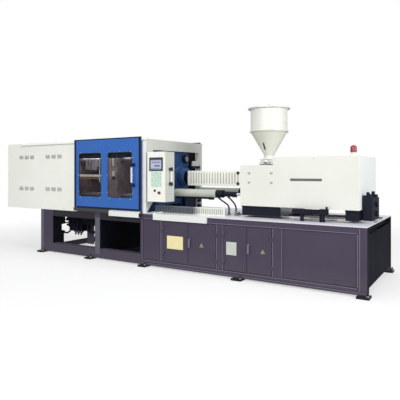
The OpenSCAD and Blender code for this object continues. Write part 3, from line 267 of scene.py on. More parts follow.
def metal(name, body, dark, rough=0.28, lines=(1.0, 1.0, 1.0)):
    """Bare steel with fine tool lines across the stretched axis and a thin oil film."""
    p = Paint(name)
    cut = p.noise(260.0, 2.0, 0.5, p.place().stretched(*lines))
    film = p.noise(7.0, 4.0, 0.6)
    p.set(Base_Color=p.mix(film.ramp(0.35, 0.75) * 0.5, body, dark), Metallic=1.0,
          Roughness=cut * 0.14 + film * 0.12 + (rough - 0.12), Normal=p.bump(cut, 0.00004))
    return p.material


def plain(name, body, other, rough=0.5, scale=60.0, grain=0.0001):
    """Moulded plastic or rubber: a fine grain and a faint change of tone."""
    p = Paint(name)
    grit = p.noise(scale, 4.0, 0.6)
    wash = p.noise(11.0, 3.0, 0.5)
    p.set(Base_Color=p.mix(wash.ramp(0.3, 0.75) * 0.5, body, other),
          Roughness=grit * 0.2 + (rough - 0.1), Normal=p.bump(grit, grain))
    return p.material


# %% Pale paints
CREAM = enamel("cream_enamel", colour(243, 244, 236), colour(232, 231, 221), colour(247, 248, 243), dirt=0.05)
WHITE = enamel("white_enamel", colour(230, 233, 230), colour(218, 219, 213), colour(242, 243, 241), dirt=0.08)
# A darker copy of the cream for the injection cover: painted shade.
COVER_SHADE = enamel("cover_painted_shade", colour(226, 227, 219), colour(214, 213, 202), colour(238, 239, 233), dirt=0.06)
# A lighter copy of the cream for the portal and the injection cover's right end: painted light.
CREAM_LIT = enamel("cream_painted_light", colour(240, 242, 239), colour(232, 233, 228), colour(245, 246, 244), dirt=0.04)
SHADED = enamel("shaded_cream", colour(206, 208, 200), colour(194, 194, 184), colour(226, 227, 220), dirt=0.08)
LILAC = enamel("deck_enamel", colour(222, 221, 230), colour(202, 199, 208), colour(234, 233, 240), dirt=0.10)
HOPPER = enamel("hopper_metal", colour(226, 227, 219), colour(212, 212, 201), colour(234, 234, 228),
                rough=0.44, dirt=0.10)
CONE = enamel("cone_metal", colour(214, 215, 204), colour(196, 196, 182), colour(228, 228, 220),
              rough=0.44, dirt=0.14)
GRIP = enamel("grip_enamel", colour(206, 216, 232), colour(188, 198, 214), colour(224, 232, 244), rough=0.34)
PULL = enamel("cylinder_enamel", colour(178, 184, 174), colour(164, 168, 156), colour(214, 216, 206), dirt=0.12)
print("pale paints", len(bpy.data.materials))

# %% Dark and strong paints
DARK = enamel("dark_enamel", colour(66, 58, 77), colour(76, 68, 85), colour(98, 89, 110), rough=0.50, dirt=0.14,
              low_dirt=0.20, coat=0.0, shine=0.30)
# Near black for the base's right end panel, which lies in shade: painted shade.
END_SHADE = enamel("end_painted_shade", colour(17, 18, 27), colour(27, 27, 39), colour(50, 50, 64), rough=0.60, dirt=0.12,
             coat=0.0, shine=0.04)
BLACK = enamel("black_enamel", colour(22, 25, 38), colour(34, 36, 48), colour(58, 60, 72), rough=0.50, dirt=0.12,
               coat=0.0, shine=0.12)
SILL = enamel("sill_enamel", colour(62, 66, 70), colour(82, 84, 86), colour(104, 106, 108), rough=0.50,
              coat=0.0, shine=0.2)
BLUE = enamel("blue_enamel", colour(42, 97, 178), colour(58, 106, 178), colour(84, 130, 204), rough=0.36, dirt=0.08)
NAVY = enamel("navy_enamel", colour(10, 20, 56), colour(18, 30, 66), colour(40, 58, 112), rough=0.45, dirt=0.10,
              shine=0.2)
GREY = enamel("machine_grey", colour(92, 100, 114), colour(104, 108, 116), colour(130, 136, 146), rough=0.45,
              dirt=0.2)
VALVE = enamel("valve_grey", colour(138, 126, 138), colour(112, 102, 112), colour(170, 160, 170), rough=0.5,
               dirt=0.2)
LATCH = enamel("latch_enamel", colour(112, 108, 132), colour(96, 92, 112), colour(140, 136, 156), rough=0.40)
ORANGE = enamel("orange_enamel", colour(168, 112, 70), colour(136, 92, 62), colour(196, 150, 108), rough=0.5)
print("all enamels", len(bpy.data.materials))

# %% Castings and bare metal
# Near black, painted shade for the base's inside and right end and for the inside of the rear gate's pan.
INNER_SHADE = casting("inner_painted_shade", colour(20, 22, 30), colour(12, 13, 18), colour(40, 40, 50), rough=0.7, shine=0.10)
PLATEN = casting("platen_blue_cast", colour(28, 74, 128), colour(14, 38, 74), colour(60, 108, 156))
CAST = casting("toggle_cast", colour(132, 112, 114), colour(84, 68, 72), colour(164, 150, 148))
LINK = casting("link_cast", colour(118, 100, 104), colour(70, 56, 62), colour(152, 140, 142))
IRON = casting("pad_iron", colour(38, 36, 42), colour(26, 25, 30), colour(64, 62, 68), shine=0.2)
FITTING = metal("zinc_fitting", (0.30, 0.33, 0.30, 1), (0.20, 0.23, 0.21, 1), rough=0.40)
BAR = metal("ground_bar", (0.42, 0.42, 0.44, 1), (0.28, 0.28, 0.30, 1), rough=0.34, lines=(6.0, 1.0, 1.0))
STEEL = metal("bright_steel", (0.66, 0.66, 0.68, 1), (0.48, 0.47, 0.47, 1), rough=0.30)
BARREL = metal("barrel_steel", (0.035, 0.038, 0.05, 1), (0.02, 0.02, 0.025, 1), rough=0.45, lines=(8.0, 1.0, 1.0))
BAND = metal("band_steel", (0.62, 0.56, 0.48, 1), (0.46, 0.38, 0.30, 1), rough=0.34)
print("with castings and metals", len(bpy.data.materials))

# %% Plastic and rubber
RUBBER = plain("hose_rubber", colour(22, 22, 25), colour(40, 39, 42), rough=0.55, scale=180.0, grain=0.0002)
BLACK_PLASTIC = plain("black_plastic", colour(22, 22, 26), colour(38, 38, 42), rough=0.42)
RED = plain("red_plastic", colour(100, 44, 32), colour(72, 30, 24), rough=0.32, grain=0.00005)
LENS = plain("lens_red", colour(150, 50, 52), colour(118, 34, 38), rough=0.30, grain=0.00005)
KEYS = plain("key_plastic", colour(206, 226, 212), colour(192, 214, 202), rough=0.50, grain=0.00006)
BEZEL = plain("bezel_plastic", colour(42, 50, 58), colour(34, 40, 46), rough=0.45)
GAP_SHADE = plain("gap_painted_shade", colour(28, 24, 35), colour(38, 33, 46), rough=0.7)
LIP_HIGHLIGHT = plain("lip_painted_highlight", colour(116, 108, 132), colour(100, 92, 114), rough=0.45)
SLIT = plain("slit_shade", colour(70, 70, 72), colour(54, 54, 58), rough=0.7)
print("with plastics", len(bpy.data.materials))

# %% [markdown]
# The slotted fence starts beside the portal and runs out into the light. Beside the portal it lies in shade, so its
# paint is grey there as painted shade and white further on. It is one piece of sheet, so it keeps one paint, which
# fades from one tone to the other along its length.

# %% Fence paint
def fence_paint():
    """Grey painted shade that fades to white along the fence."""
    p = Paint("fence_painted_shade")
    smear = p.noise(9.0, 5.0, 0.65)
    white = (p.along("X") + smear * 0.06).ramp(0.27, 0.38)
    p.set(Base_Color=p.mix(white, colour(100, 105, 112), colour(228, 229, 220)), Roughness=smear * 0.16 + 0.36,
          Normal=p.bump(p.noise(420.0, 2.0, 0.5), 0.0001))
    return p.material


FENCE = fence_paint()
print("fence paint", FENCE.name)

# %% [markdown]
# The gate's windows are clear plastic sheet, scratched a little where hands wipe them. A
# glass shader would bend the light and cost many rays. Most light passes a thin sheet
# straight through, so this one is a mix of a clear layer and a glossy one.

# %% Clear sheet
def clear_sheet():
    """A clear layer with a little wiped gloss over it."""
    p = Paint("clear_sheet")
    wipes = p.noise(26.0, 5.0, 0.6, p.place().stretched(1.0, 1.0, 0.3))
    p.set(Base_Color=p.mix(wipes.ramp(0.4, 0.7), colour(60, 64, 70), colour(120, 124, 128)),
          Roughness=wipes * 0.10 + 0.02)
    through = p.node("ShaderNodeBsdfTransparent", {"Color": (0.94, 0.95, 0.96, 1)})
    gloss = wipes.ramp(0.45, 0.85) * 0.03 + 0.04
    p.feed(p.surface, p.node("ShaderNodeMixShader", {0: gloss, 1: through, 2: Wire(p, p.shader.outputs[0])}))
    return p.material


CLEAR = clear_sheet()
print("clear sheet", CLEAR.name)

# %% [markdown]
# The display glows a little. Its picture is only blocks of colour: a title bar, two fields
# and a row of keys under them. Comparing the place on the glass with each block's sides
# draws them sharp at any size, without an image.

# %% Display glow
def display_glow(lo, hi):
    """A lit picture laid out across the display's width and height."""
    p = Paint("display_glow")
    u = (p.along("X") - lo.x) / (hi.x - lo.x)
    v = (p.along("Z") - lo.z) / (hi.z - lo.z)

    def field(u0, u1, v0, v1):
        return (u > u0) * (u < u1) * (v > v0) * (v < v1)

    glow = p.mix(p.noise(30.0, 3.0, 0.5) * 0.3, colour(206, 210, 236), colour(222, 224, 244))
    glow = p.mix(field(0.0, 1.0, 0.88, 1.0), glow, colour(92, 98, 140))
    glow = p.mix(field(0.10, 0.90, 0.60, 0.74), glow, colour(150, 154, 190))
    glow = p.mix(field(0.35, 0.85, 0.26, 0.42), glow, colour(116, 120, 160))
    for i in range(6):
        glow = p.mix(field(0.06 + i * 0.155, 0.16 + i * 0.155, 0.05, 0.13), glow, colour(92, 104, 150))
    p.set(Base_Color=(0.02, 0.02, 0.03, 1), Emission_Color=glow, Emission_Strength=0.75, Roughness=0.12)
    return p.material


# %% [markdown]
# ## Rounded edges
# Folded sheet and machined blocks never have knife edges. Each CAD solid is copied, its flat triangles are joined
# back into whole faces, and its corners get a small round, so that they catch the light as the real ones do. A Bevel
# modifier does it for all solids given a width, the others are only shaded smooth, and the CAD's own mesh is left as
# it is.

# %% Rounding
CORNER = math.radians(38)   # edges that turn less than this stay smooth


def joined(mesh):
    """Merges a solid's triangles into its real flat faces, and drops the old shading marks."""
    for mark in ("custom_normal", "sharp_face", "sharp_edge"):
        if mark in mesh.attributes:
            mesh.attributes.remove(mesh.attributes[mark])
    bm = bmesh.new()
    bm.from_mesh(mesh)
    bmesh.ops.remove_doubles(bm, verts=bm.verts, dist=1e-6)
    bmesh.ops.dissolve_limit(bm, angle_limit=math.radians(0.4), verts=bm.verts, edges=bm.edges)
    for face in bm.faces:
        face.smooth = True
    bm.to_mesh(mesh)
    bm.free()


def round_edges(piece, width, steps=2):
    """Rounds the corners, or only shades them where the width is 0."""
    if width:
        bevel = piece.modifiers.new("round", "BEVEL")
        bevel.width = width
        bevel.segments = steps
        bevel.limit_method = "ANGLE"
        bevel.angle_limit = CORNER
        bevel.harden_normals = True
        bevel.use_clamp_overlap = True
        bevel.miter_outer = "MITER_SHARP"
    else:
        bpy.context.view_layer.objects.active = piece
        piece.select_set(True)
        bpy.ops.object.shade_smooth_by_angle(angle=CORNER)
        piece.select_set(False)


def dress(node, paint, width, second=None, chosen=None):
    """Shows a rounded copy of a CAD node in its paint, and the chosen faces in a second one."""
    mesh = NODES[node].data.copy()
    mesh.name = node + "_skin"
    joined(mesh)
    piece = bpy.data.objects.new(node + "_skin", mesh)
    bpy.context.scene.collection.objects.link(piece)
    mesh.materials.clear()
    mesh.materials.append(paint)
    if second:
        mesh.materials.append(second)
    for face in mesh.polygons:
        face.material_index = 1 if second and chosen(face.center, face.normal) else 0
    round_edges(piece, width)
    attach(piece, BODY_OF[node])
    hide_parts(node)


# %% [markdown]
# Every solid is listed once with its paint and its round. Some show two finishes, such as the base, whose inside and
# right end are painted near black as painted shade. Splitting such a solid would open its mesh, so its faces are
# told apart by where they lie and which way they face.

# %% Dress the solids
# node: paint, width of the round in metres
SKINS = {
    "base_frame": (DARK, 0.004), "anchor_feet": (IRON, 0.002), "deck_plate": (LILAC, 0.002),
    "front_panels": (DARK, 0.0015), "rear_panels": (DARK, 0.0015), "control_gear": (CREAM, 0.0015),
    "oil_tank": (GREY, 0.003), "pump_motor": (GREY, 0.002), "oil_cooler": (BLACK, 0.002),
    "clamp_cover": (CREAM, 0.0012), "portal_cover": (CREAM_LIT, 0.0012), "gate_rails": (WHITE, 0.002),
    "fixed_platen": (PLATEN, 0.004), "tie_bars": (BAR, 0.003), "tie_bar_nuts": (BLACK, 0.003),
    "tail_platen": (CAST, 0.004), "clamp_cylinder": (CREAM, 0.003), "control_box": (CREAM, 0.0012),
    "display": (BEZEL, 0.001), "keypad": (KEYS, 0.0006), "drip_tray": (WHITE, 0.001),
    "slotted_guard": (FENCE, 0.0008), "product_lip": (WHITE, 0.001), "carriage_rails": (STEEL, 0.002),
    "pull_in_cylinders": (PULL, 0.002), "switch_rail": (BLACK, 0.001), "rear_link_upper": (LINK, 0.003),
    "rear_link_lower": (LINK, 0.003), "front_link_upper": (LINK, 0.003), "front_link_lower": (LINK, 0.003),
    "cross_link_upper": (STEEL, 0.002), "cross_link_lower": (STEEL, 0.002), "crosshead": (CAST, 0.003),
    "moving_platen": (CAST, 0.004), "safety_bar": (CREAM, 0.001), "ejector_rod": (STEEL, 0.001),
    "front_gate": (BLUE, 0.0012), "rear_gate": (BLUE, 0.0012), "front_gate_handle": (GRIP, 0.001),
    "door_1": (DARK, 0.0012), "door_2": (DARK, 0.0012), "door_3": (DARK, 0.0012), "door_4": (DARK, 0.0012),
    "latch_1": (LATCH, 0.001), "latch_2": (LATCH, 0.001), "carriage_base": (BLACK, 0.003),
    "barrel": (BARREL, 0.002), "heater_bands": (BAND, 0.001), "barrel_guard": (CREAM, 0.0008),
    "injection_cover": (COVER_SHADE, 0.0012), "hopper": (HOPPER, 0.001), "hopper_lid": (HOPPER, 0.001),
    "hopper_slide": (STEEL, 0.001), "thrust_housing": (GREY, 0.003), "screw": (STEEL, 0),
    "emergency_stop": (RED, 0.002), "selector_knob": (BLACK_PLASTIC, 0.001), "beacon": (LENS, 0),
    "hydraulic_hoses": (RUBBER, 0),
}


def right_faces_lit_or_shaded(c, n):
    """The faces that look to the right, painted darker on the portal and control box as painted shade, and lighter
    on the injection cover as painted light.
    """
    return n.x > 0.5


def base_inside(c, n):
    """The inner faces of the base's beams and posts, and its right end, which are painted shade."""
    behind = abs(c.y) < 0.52 and c.z > 0.05 or abs(c.y) < 0.60 and c.z > 0.16
    return behind and abs(c.x) < 2.15 and (n.z < 0.9 or c.z < 0.08) or c.x > 2.15


# node: paint of the chosen faces, and the test that chooses them by centre and outward normal
TWO_TONE = {
    "base_frame": (INNER_SHADE, base_inside),
    "gate_rails": (SILL, lambda c, n: c.z < 0.66),                      # the lower rails
    # painted shade on the right faces of the portal and control box, painted light on the injection cover's
    "portal_cover": (SHADED, right_faces_lit_or_shaded),
    "control_box": (SHADED, right_faces_lit_or_shaded),
    "injection_cover": (CREAM_LIT, right_faces_lit_or_shaded),
    # the end panel is painted shade
    "rear_panels": (END_SHADE, lambda c, n: c.x > 2.14),                      # the end panel
    # the tubes at the right and the pipes under the cylinders
    "pull_in_cylinders": (BLACK, lambda c, n: c.x > 0.468 and abs(c.y) < 0.34 or c.z < 0.812),
    "beacon": (WHITE, lambda c, n: c.z < 1.289),                        # its foot
    "hopper": (CONE, lambda c, n: n.z < -0.2 and c.z < 1.56),
    "barrel": (PLATEN, lambda c, n: c.x < -0.050),                      # the nozzle
    # the inside of the pan is painted shade
    "rear_gate": (INNER_SHADE, lambda c, n: c.y < 0.652 and n.y < 0.5),       # the inside of the pan
    # the platen's mould side is darker as painted shade
    "fixed_platen": (NAVY, lambda c, n: n.x < -0.5),                    # the side of the mould
    # the pull rods, and the end of the front block
    "carriage_base": (STEEL, lambda c, n: c.x < 0.80 and c.z > 0.80 or n.x > 0.5 and 1.2 < c.x < 1.4),
    "hydraulic_hoses": (FITTING, lambda c, n: c.z < 0.694),             # the fittings on the deck
    "emergency_stop": (BLACK_PLASTIC, lambda c, n: c.y > -0.637),       # its collar
}
for node, (paint, width) in SKINS.items():
    dress(node, paint, width, *TWO_TONE.get(node, ()))
for slot in NODES["front_gate_windows"].material_slots:
    slot.material = CLEAR
print("dressed", len(SKINS), "of", len(NODES), "nodes,", len(TWO_TONE), "of them in two paints")

# %% [markdown]
# ## Building small pieces
# Screws, hoods, beads and pipes are all made of a few plain forms: blocks, rods, bent tubes
# and turned profiles. A tray collects such forms and turns them into one piece that rides
# on a CAD body, so that a door takes its card with it when it opens.

# %% Small forms
class Tray:
    """Forms gathered for one piece."""

    def __init__(self):
        self.bm = bmesh.new()

    def block(self, x0, x1, y0, y1, z0, z1):
        """A box between two places on each axis."""
        made = bmesh.ops.create_cube(self.bm, size=1.0)
        for v in made["verts"]:
            v.co = Vector((x0 + (v.co.x + 0.5) * (x1 - x0), y0 + (v.co.y + 0.5) * (y1 - y0),
                           z0 + (v.co.z + 0.5) * (z1 - z0)))
        return made["verts"]

    def rod(self, start, end, radius, sides=16):
        """A round bar between two points."""
        a, b = Vector(start), Vector(end)
        turn = (b - a).to_track_quat("Z", "Y").to_matrix().to_4x4()
        bmesh.ops.create_cone(self.bm, cap_ends=True, segments=sides, radius1=radius, radius2=radius,
                              depth=(b - a).length, matrix=Matrix.Translation((a + b) / 2) @ turn)

    def circle(self, centre, across, other, radius, sides):
        """A ring of points round centre, in the plane of two directions."""
        return [self.bm.verts.new(centre + (across * math.cos(t) + other * math.sin(t)) * radius)
                for t in (math.tau * k / sides for k in range(sides))]

    def skin(self, rings, closed):
        """Walls between rings of points, with the last joined to the first, or with a cap at each end."""
        if not closed:
            self.bm.faces.new(list(reversed(rings[0])))
            self.bm.faces.new(rings[-1])
        for a, b in zip(rings, rings[1:] + rings[:1] if closed else rings[1:]):
            for k in range(len(a)):
                self.bm.faces.new((a[k], a[(k + 1) % len(a)], b[(k + 1) % len(a)], b[k]))

    def tube(self, points, radius, sides=10):
        """A round bar bent along points."""
        points = [Vector(p) for p in points]
        rings = []
        across = None
        for i, p in enumerate(points):
            ahead = points[min(i + 1, len(points) - 1)] - points[max(i - 1, 0)]
            ahead.normalize()
            if across is None:
                across = ahead.orthogonal().normalized()
            across = (across - ahead * across.dot(ahead)).normalized()
            rings.append(self.circle(p, across, ahead.cross(across), radius, sides))
        self.skin(rings, closed=False)

    def spin(self, profile, centre, sides=24, axis=(0, 0, 1), bored=False):
        """Turns (radius, height) pairs round an axis. A bored form closes on itself and has no caps."""
        turn = Vector(axis).to_track_quat("Z", "Y").to_matrix()
        across, other, up = (turn @ Vector(v) for v in ((1, 0, 0), (0, 1, 0), (0, 0, 1)))
        self.skin([self.circle(Vector(centre) + up * h, across, other, r, sides) for r, h in profile], bored)

    def screw_head(self, point, out, radius=0.005, height=0.003):
        """A low round head on a surface that faces out."""
        self.spin([(radius, 0), (radius, height * 0.45), (radius * 0.72, height * 0.85), (radius * 0.3, height)],
                  point, 12, out)

    def nut(self, point, out, radius, height):
        """A hexagon nut with the end of its screw."""
        a, up = Vector(point), Vector(out) * height
        self.rod(a, a + up, radius, 6)
        self.rod(a, a + up * 1.5, radius * 0.5, 12)

    def piece(self, name, paint, body, slot, width=0.0, steps=2):
        """Closes the tray as one piece that rides on a body."""
        bmesh.ops.recalc_face_normals(self.bm, faces=self.bm.faces)
        for face in self.bm.faces:
            face.smooth = True
        mesh = bpy.data.meshes.new(name)
        self.bm.to_mesh(mesh)
        self.bm.free()
        mesh.materials.append(paint)
        made = bpy.data.objects.new(name, mesh)
        bpy.context.scene.collection.objects.link(made)
        round_edges(made, width, steps)
        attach(made, body)
        print(name, len(mesh.polygons), "faces on", body)


def line(a, b, count):
    """Evenly spaced numbers from a to b."""
    return [a + (b - a) * i / (count - 1) for i in range(count)]


# %% [markdown]
# Many small pieces lie on the same few planes, so those are read from the solids once. A
# piece that only touches its carrier shows a hairline of light, so it reaches a little into
# it. Thin strips and plates stand out of a face by as little.

# %% Planes that the small pieces share
FACE = round(-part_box("clamp_cover")[0].y, 4)           # front and rear face of the base and covers
DECK = round(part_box("deck_plate")[1].z, 4)             # top of the deck
BEAM_UNDER = round(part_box("oil_cooler")[1].z, 4)       # underside of the clamp's beams
PLATEN_SIDE = round(-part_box("moving_platen")[0].y, 4)  # front side of the moving platen
AXIS = round(sum(corner.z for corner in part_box("barrel")) / 2, 4)    # height of the barrel
SINK = 0.0005         # how far a piece reaches into what carries it
PROUD = 0.0005        # how far a thin plate stands out of a face
print("face", FACE, "deck", DECK, "beams", BEAM_UNDER, "platen", PLATEN_SIDE, "axis", AXIS)

# %% [markdown]
# ## Clamp cover
# Air leaves through four groups of louvres. Each slit has a pressed hood over it, a block
# whose outer upper edge is pulled down, and round screws hold the sheets to the frame
# inside. The rear has the same ones, because such covers are made from the same blanks.

# %% Louvre hoods and cover screws
lo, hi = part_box("clamp_cover")
LOUVRE_X = [lo.x + 0.273, lo.x + 0.845]   # left side and foot of each group
LOUVRE_Z = [0.837, 1.280]
BAY, HOOD = 0.119, 0.013                  # spacing of the bays in a group, and of the hoods in a bay
hoods = Tray()
# A grey plate behind each bay of hoods is the painted shade of the slits.
slits = Tray()
for side in (-1, 1):
    y = side * hi.y
    for x in LOUVRE_X:
        for z in LOUVRE_Z:
            for i in range(3):
                x0, z0 = x + i * BAY - 0.001, z + 0.001
                slits.block(x0, x0 + 0.087, y - side * 0.001, y + side * 0.0012, z0, z0 + 0.050)
                for j in range(4):
                    x0, z0 = x + i * BAY - 0.002, z + j * HOOD + 0.0055
                    for v in hoods.block(x0, x0 + 0.089, y, y + side * 0.007, z0 - 0.005, z0 + 0.003):
                        if abs(v.co.y) > abs(y) + 0.003 and v.co.z > z0:
                            v.co.z -= 0.006
hoods.piece("louvre_hoods", CREAM, "frame", "cream_paint", 0.0006, 1)
slits.piece("louvre_slits", SLIT, "frame", "cream_paint")

screws = Tray()
for side in (-1, 1):
    y = side * hi.y
    for x in line(lo.x + 0.025, hi.x - 0.025, 7):
        for z in (lo.z + 0.022, hi.z - 0.055):
            screws.screw_head((x, y, z), (0, side, 0), 0.0055)
    for z in line(0.75, 1.38, 3):
        screws.screw_head((lo.x + 0.025, y, z), (0, side, 0), 0.0055)
for y in line(lo.y + 0.06, hi.y - 0.06, 5):
    for z in line(lo.z + 0.03, hi.z - 0.03, 4):
        screws.screw_head((lo.x, y, z), (-1, 0, 0), 0.0055)
screws.piece("cover_screws", STEEL, "frame", "bright_steel")

# %% [markdown]
# ## Gates
# A gate is one folded pan. Dark blue channels close its upright edges, a black rubber bead
# holds each window, and the grab handle ends in dark blue sockets. The rear gate has the
# same trim, so one function makes it for both sides.

# %% Bead and handle socket
def bead(tray, x0, x1, z0, z1, y0, y1, wide, radius=0.024, turns=6):
    """A flat frame with rounded corners round a window."""
    def path(off, rad):
        points = []
        for cx, cz, start in ((x1 + off - rad, z1 + off - rad, 0), (x0 - off + rad, z1 + off - rad, 90),
                              (x0 - off + rad, z0 - off + rad, 180), (x1 + off - rad, z0 - off + rad, 270)):
            for k in range(turns + 1):
                a = math.radians(start + 90 * k / turns)
                points.append((cx + rad * math.cos(a), cz + rad * math.sin(a)))
        return points
    inner, outer = path(-0.001, radius), path(wide, radius + wide)
    tray.skin([[tray.bm.verts.new((x, y, z)) for x, z in loop] for loop, y in
               ((inner, y0), (outer, y0), (outer, y1), (inner, y1))], closed=True)


def handle_socket(tray, wall, grip, z, drop, cap, arm, collar):
    """The cap over a grip's end, and the arm and collar that hold it to the wall."""
    start, end = Vector((*wall, z + drop)), Vector((*grip, z + drop))
    tray.spin(cap, (*grip, z), 20, (0, 0, math.copysign(1, drop)))
    tray.rod(start, end, arm)
    tray.spin(collar, start, 24, (end - start).normalized())


# %% Gate edges, window beads and handle sockets
GATE_FACE = round(-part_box("front_gate")[0].y, 4)
WINDOW_LEFT = (0.091, 0.593)     # left sides of the two windows, from the gate's left edge
WINDOW_WIDE, WINDOW_LOW, WINDOW_HIGH = 0.376, 0.147, 0.681


def gate_trim(gate, side):
    """Channels, beads, screws and handle sockets on one gate."""
    lo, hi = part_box(gate)
    x0, x1, z0, z1 = lo.x, hi.x, lo.z + 0.020, hi.z      # its guide tongues hang 20 mm below the pan
    face = side * GATE_FACE
    channels = Tray()
    for xa, xb in ((x0 - 0.002, x0 + 0.030), (x1 - 0.024, x1 + 0.002)):
        channels.block(xa, xb, face - side * 0.020, face + side * 0.0025, z0 - 0.001, z1 + 0.001)
    for za, zb in ((z0 - 0.001, z0 + 0.014), (z1 - 0.012, z1 + 0.001)):
        channels.block(x0 + 0.030, x1 - 0.024, face - side * 0.016, face + side * 0.0018, za, zb)
    channels.piece(gate + "_edge_channels", NAVY, gate, "blue_paint", 0.001)
    beads, screws = Tray(), Tray()
    for x in (x0 + left for left in WINDOW_LEFT):
        bead(beads, x, x + WINDOW_WIDE, z0 + WINDOW_LOW, z0 + WINDOW_HIGH, face - side * 0.004,
             face + side * 0.0025, 0.007)
        for xs in line(x + 0.020, x + WINDOW_WIDE - 0.020, 3):
            for zs in (z0 + WINDOW_LOW - 0.015, z0 + WINDOW_HIGH + 0.015):
                screws.screw_head((xs, face, zs), (0, side, 0), 0.005, 0.0025)
        for zs in line(z0 + 0.20, z0 + 0.62, 3):
            for xs in (x - 0.016, x + WINDOW_WIDE + 0.016):
                screws.screw_head((xs, face, zs), (0, side, 0), 0.005, 0.0025)
    beads.piece(gate + "_window_beads", RUBBER, gate, "hose_rubber", 0.0006, 1)
    screws.piece(gate + "_window_screws", STEEL, gate, "bright_steel")
    sockets = Tray()
    for z, drop in ((z0 + 0.280, 0.014), (z0 + 0.550, -0.014)):
        handle_socket(sockets, (x1 - 0.095, face), (x1 - 0.095, face + side * 0.045), z, drop,
                      [(0.008, -0.004), (0.0135, 0.0), (0.0135, 0.040), (0.0118, 0.046)], 0.0105,
                      [(0.0205, 0), (0.0205, 0.005), (0.012, 0.013)])
    sockets.piece(gate + "_handle_sockets", NAVY, gate, "blue_paint")


gate_trim("front_gate", -1)
gate_trim("rear_gate", 1)

# %% [markdown]
# The rear gate is one solid with its windows and handle, so its panes and bar are shown by
# thin skins laid over it. Its panes are dark, because the machine behind them is in shade.

# %% Rear gate panes and bar
lo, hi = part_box("rear_gate")
pan_foot = lo.z + 0.020
panes = Tray()
for x in (lo.x + left for left in WINDOW_LEFT):
    panes.block(x - 0.004, x + WINDOW_WIDE + 0.004, GATE_FACE - 0.0035, GATE_FACE - 0.0025,
                pan_foot + WINDOW_LOW - 0.004, pan_foot + WINDOW_HIGH + 0.004)
panes.piece("rear_gate_panes", plain("pane_back", colour(46, 52, 60), colour(38, 44, 52), rough=0.16),
            "rear_gate", "clear_sheet")
bar = Tray()
bar.rod((hi.x - 0.095, GATE_FACE + 0.045, 0.975), (hi.x - 0.095, GATE_FACE + 0.045, 1.155), 0.0115, 20)
bar.piece("rear_gate_bar", GRIP, "rear_gate", "handle_paint")

# %% [markdown]
# ## Control box
# A lit display in a dark bezel sits over the key field. Small marks stand on the keys, the
# side handle's sockets are black, and screws hold the front sheet and the handle's plates.
# The key caps are in the solid already, so only a low block is set on most of them.

# %% Display, keys and handle sockets
lo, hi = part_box("display")
inset = Vector((0.018, 0, 0.018))
pane = Tray()
pane.block(lo.x + 0.0175, hi.x - 0.0175, lo.y + 0.0022, lo.y + 0.0035, lo.z + 0.0175, hi.z - 0.0175)
pane.piece("display_picture", display_glow(lo + inset, hi - inset), "frame", "display_plastic")

lo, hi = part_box("keypad")
keys = Tray()
for i in range(6):
    for j in range(7):
        x, z = lo.x + 0.009 + i * 0.0235, lo.z + 0.009 + j * 0.0228
        if (i + j) % 3 != 1:
            keys.block(x + 0.004, x + 0.014, lo.y - 0.0003, lo.y + 0.0006, z + 0.0045, z + 0.0115)
keys.piece("key_marks", plain("key_ink", colour(120, 170, 140), colour(96, 150, 120)), "frame", "key_plastic")

BOX_END, GRIP_X, GRIP_Y = -0.002, 0.029, -0.548    # the box's right side, and the line of its handle
sockets = Tray()
for z, drop in ((0.946, 0.018), (1.148, -0.018)):
    handle_socket(sockets, (BOX_END, GRIP_Y), (GRIP_X, GRIP_Y), z, drop,
                  [(0.008, -0.005), (0.0130, 0.0), (0.0130, 0.034), (0.0110, 0.040)], 0.0095,
                  [(0.019, 0), (0.019, 0.005), (0.011, 0.012)])
sockets.piece("box_handle_sockets", BLACK_PLASTIC, "frame", "black_plastic")

lo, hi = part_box("control_box")
screws = Tray()
for x in (lo.x + 0.012, BOX_END - 0.012):
    for z in (lo.z + 0.014, lo.z + 0.285, hi.z - 0.014):
        screws.screw_head((x, lo.y, z), (0, -1, 0), 0.004, 0.002)
for z in (0.81, 0.86, 1.23, 1.28):
    for y in (-0.588, -0.498):
        screws.screw_head((BOX_END, y, z), (1, 0, 0), 0.004, 0.002)
screws.piece("box_screws", STEEL, "frame", "bright_steel")

# %% [markdown]
# ## Cabinet
# A paper card and a bare plate are fixed to two of the doors, and bare tin triangles to the
# other two. Hexagon nuts sit on the levelling screws of the feet.

# %% Door plates, triangles and feet nuts
def door_sign(name, door, paint, slot, x0, x1, z0, z1):
    """A thin plate on a door's face."""
    sign = Tray()
    sign.block(x0, x1, -FACE - PROUD, 0.001 - FACE, z0, z1)
    sign.piece(name, paint, door, slot, 0.0005, 1)


door_sign("door_card", "door_1", plain("card_yellow", colour(238, 228, 176), colour(226, 210, 150), 0.6, 90.0),
          "cream_paint", 0.008, 0.226, 0.240, 0.385)
door_sign("door_plate", "door_3", plain("plate_grey", colour(200, 202, 194), colour(184, 187, 180)),
          "bright_steel", 0.768, 0.886, 0.246, 0.380)
for door, x in (("door_2", 0.465), ("door_4", 1.178)):
    sign = Tray()
    corners = [(x - 0.026, 0.292), (x + 0.026, 0.292), (x, 0.338)]
    sign.skin([[sign.bm.verts.new((a, y, z)) for a, z in corners] for y in (-0.612, -FACE)], closed=False)
    sign.piece(door + "_triangle", plain(door + "_tin", colour(150, 138, 104), colour(128, 116, 88)), door,
               "bright_steel")
nuts = Tray()
for x in (-2.130, -1.205, -0.328, 0.902, 2.130):
    for side in (-1, 1):
        nuts.nut((x + 0.038, side * 0.638, 0.0205), (0, 0, 1), 0.0155, 0.011)
nuts.piece("levelling_nuts", STEEL, "frame", "bright_steel", 0.0006, 1)

# %% [markdown]
# The cabinet's panels lie a little behind its rails and posts. The gaps between sheet and frame get painted shade,
# and each has a painted highlight on the lip beside it. They are thin strips here, two strips to a joint, laid along
# every post.

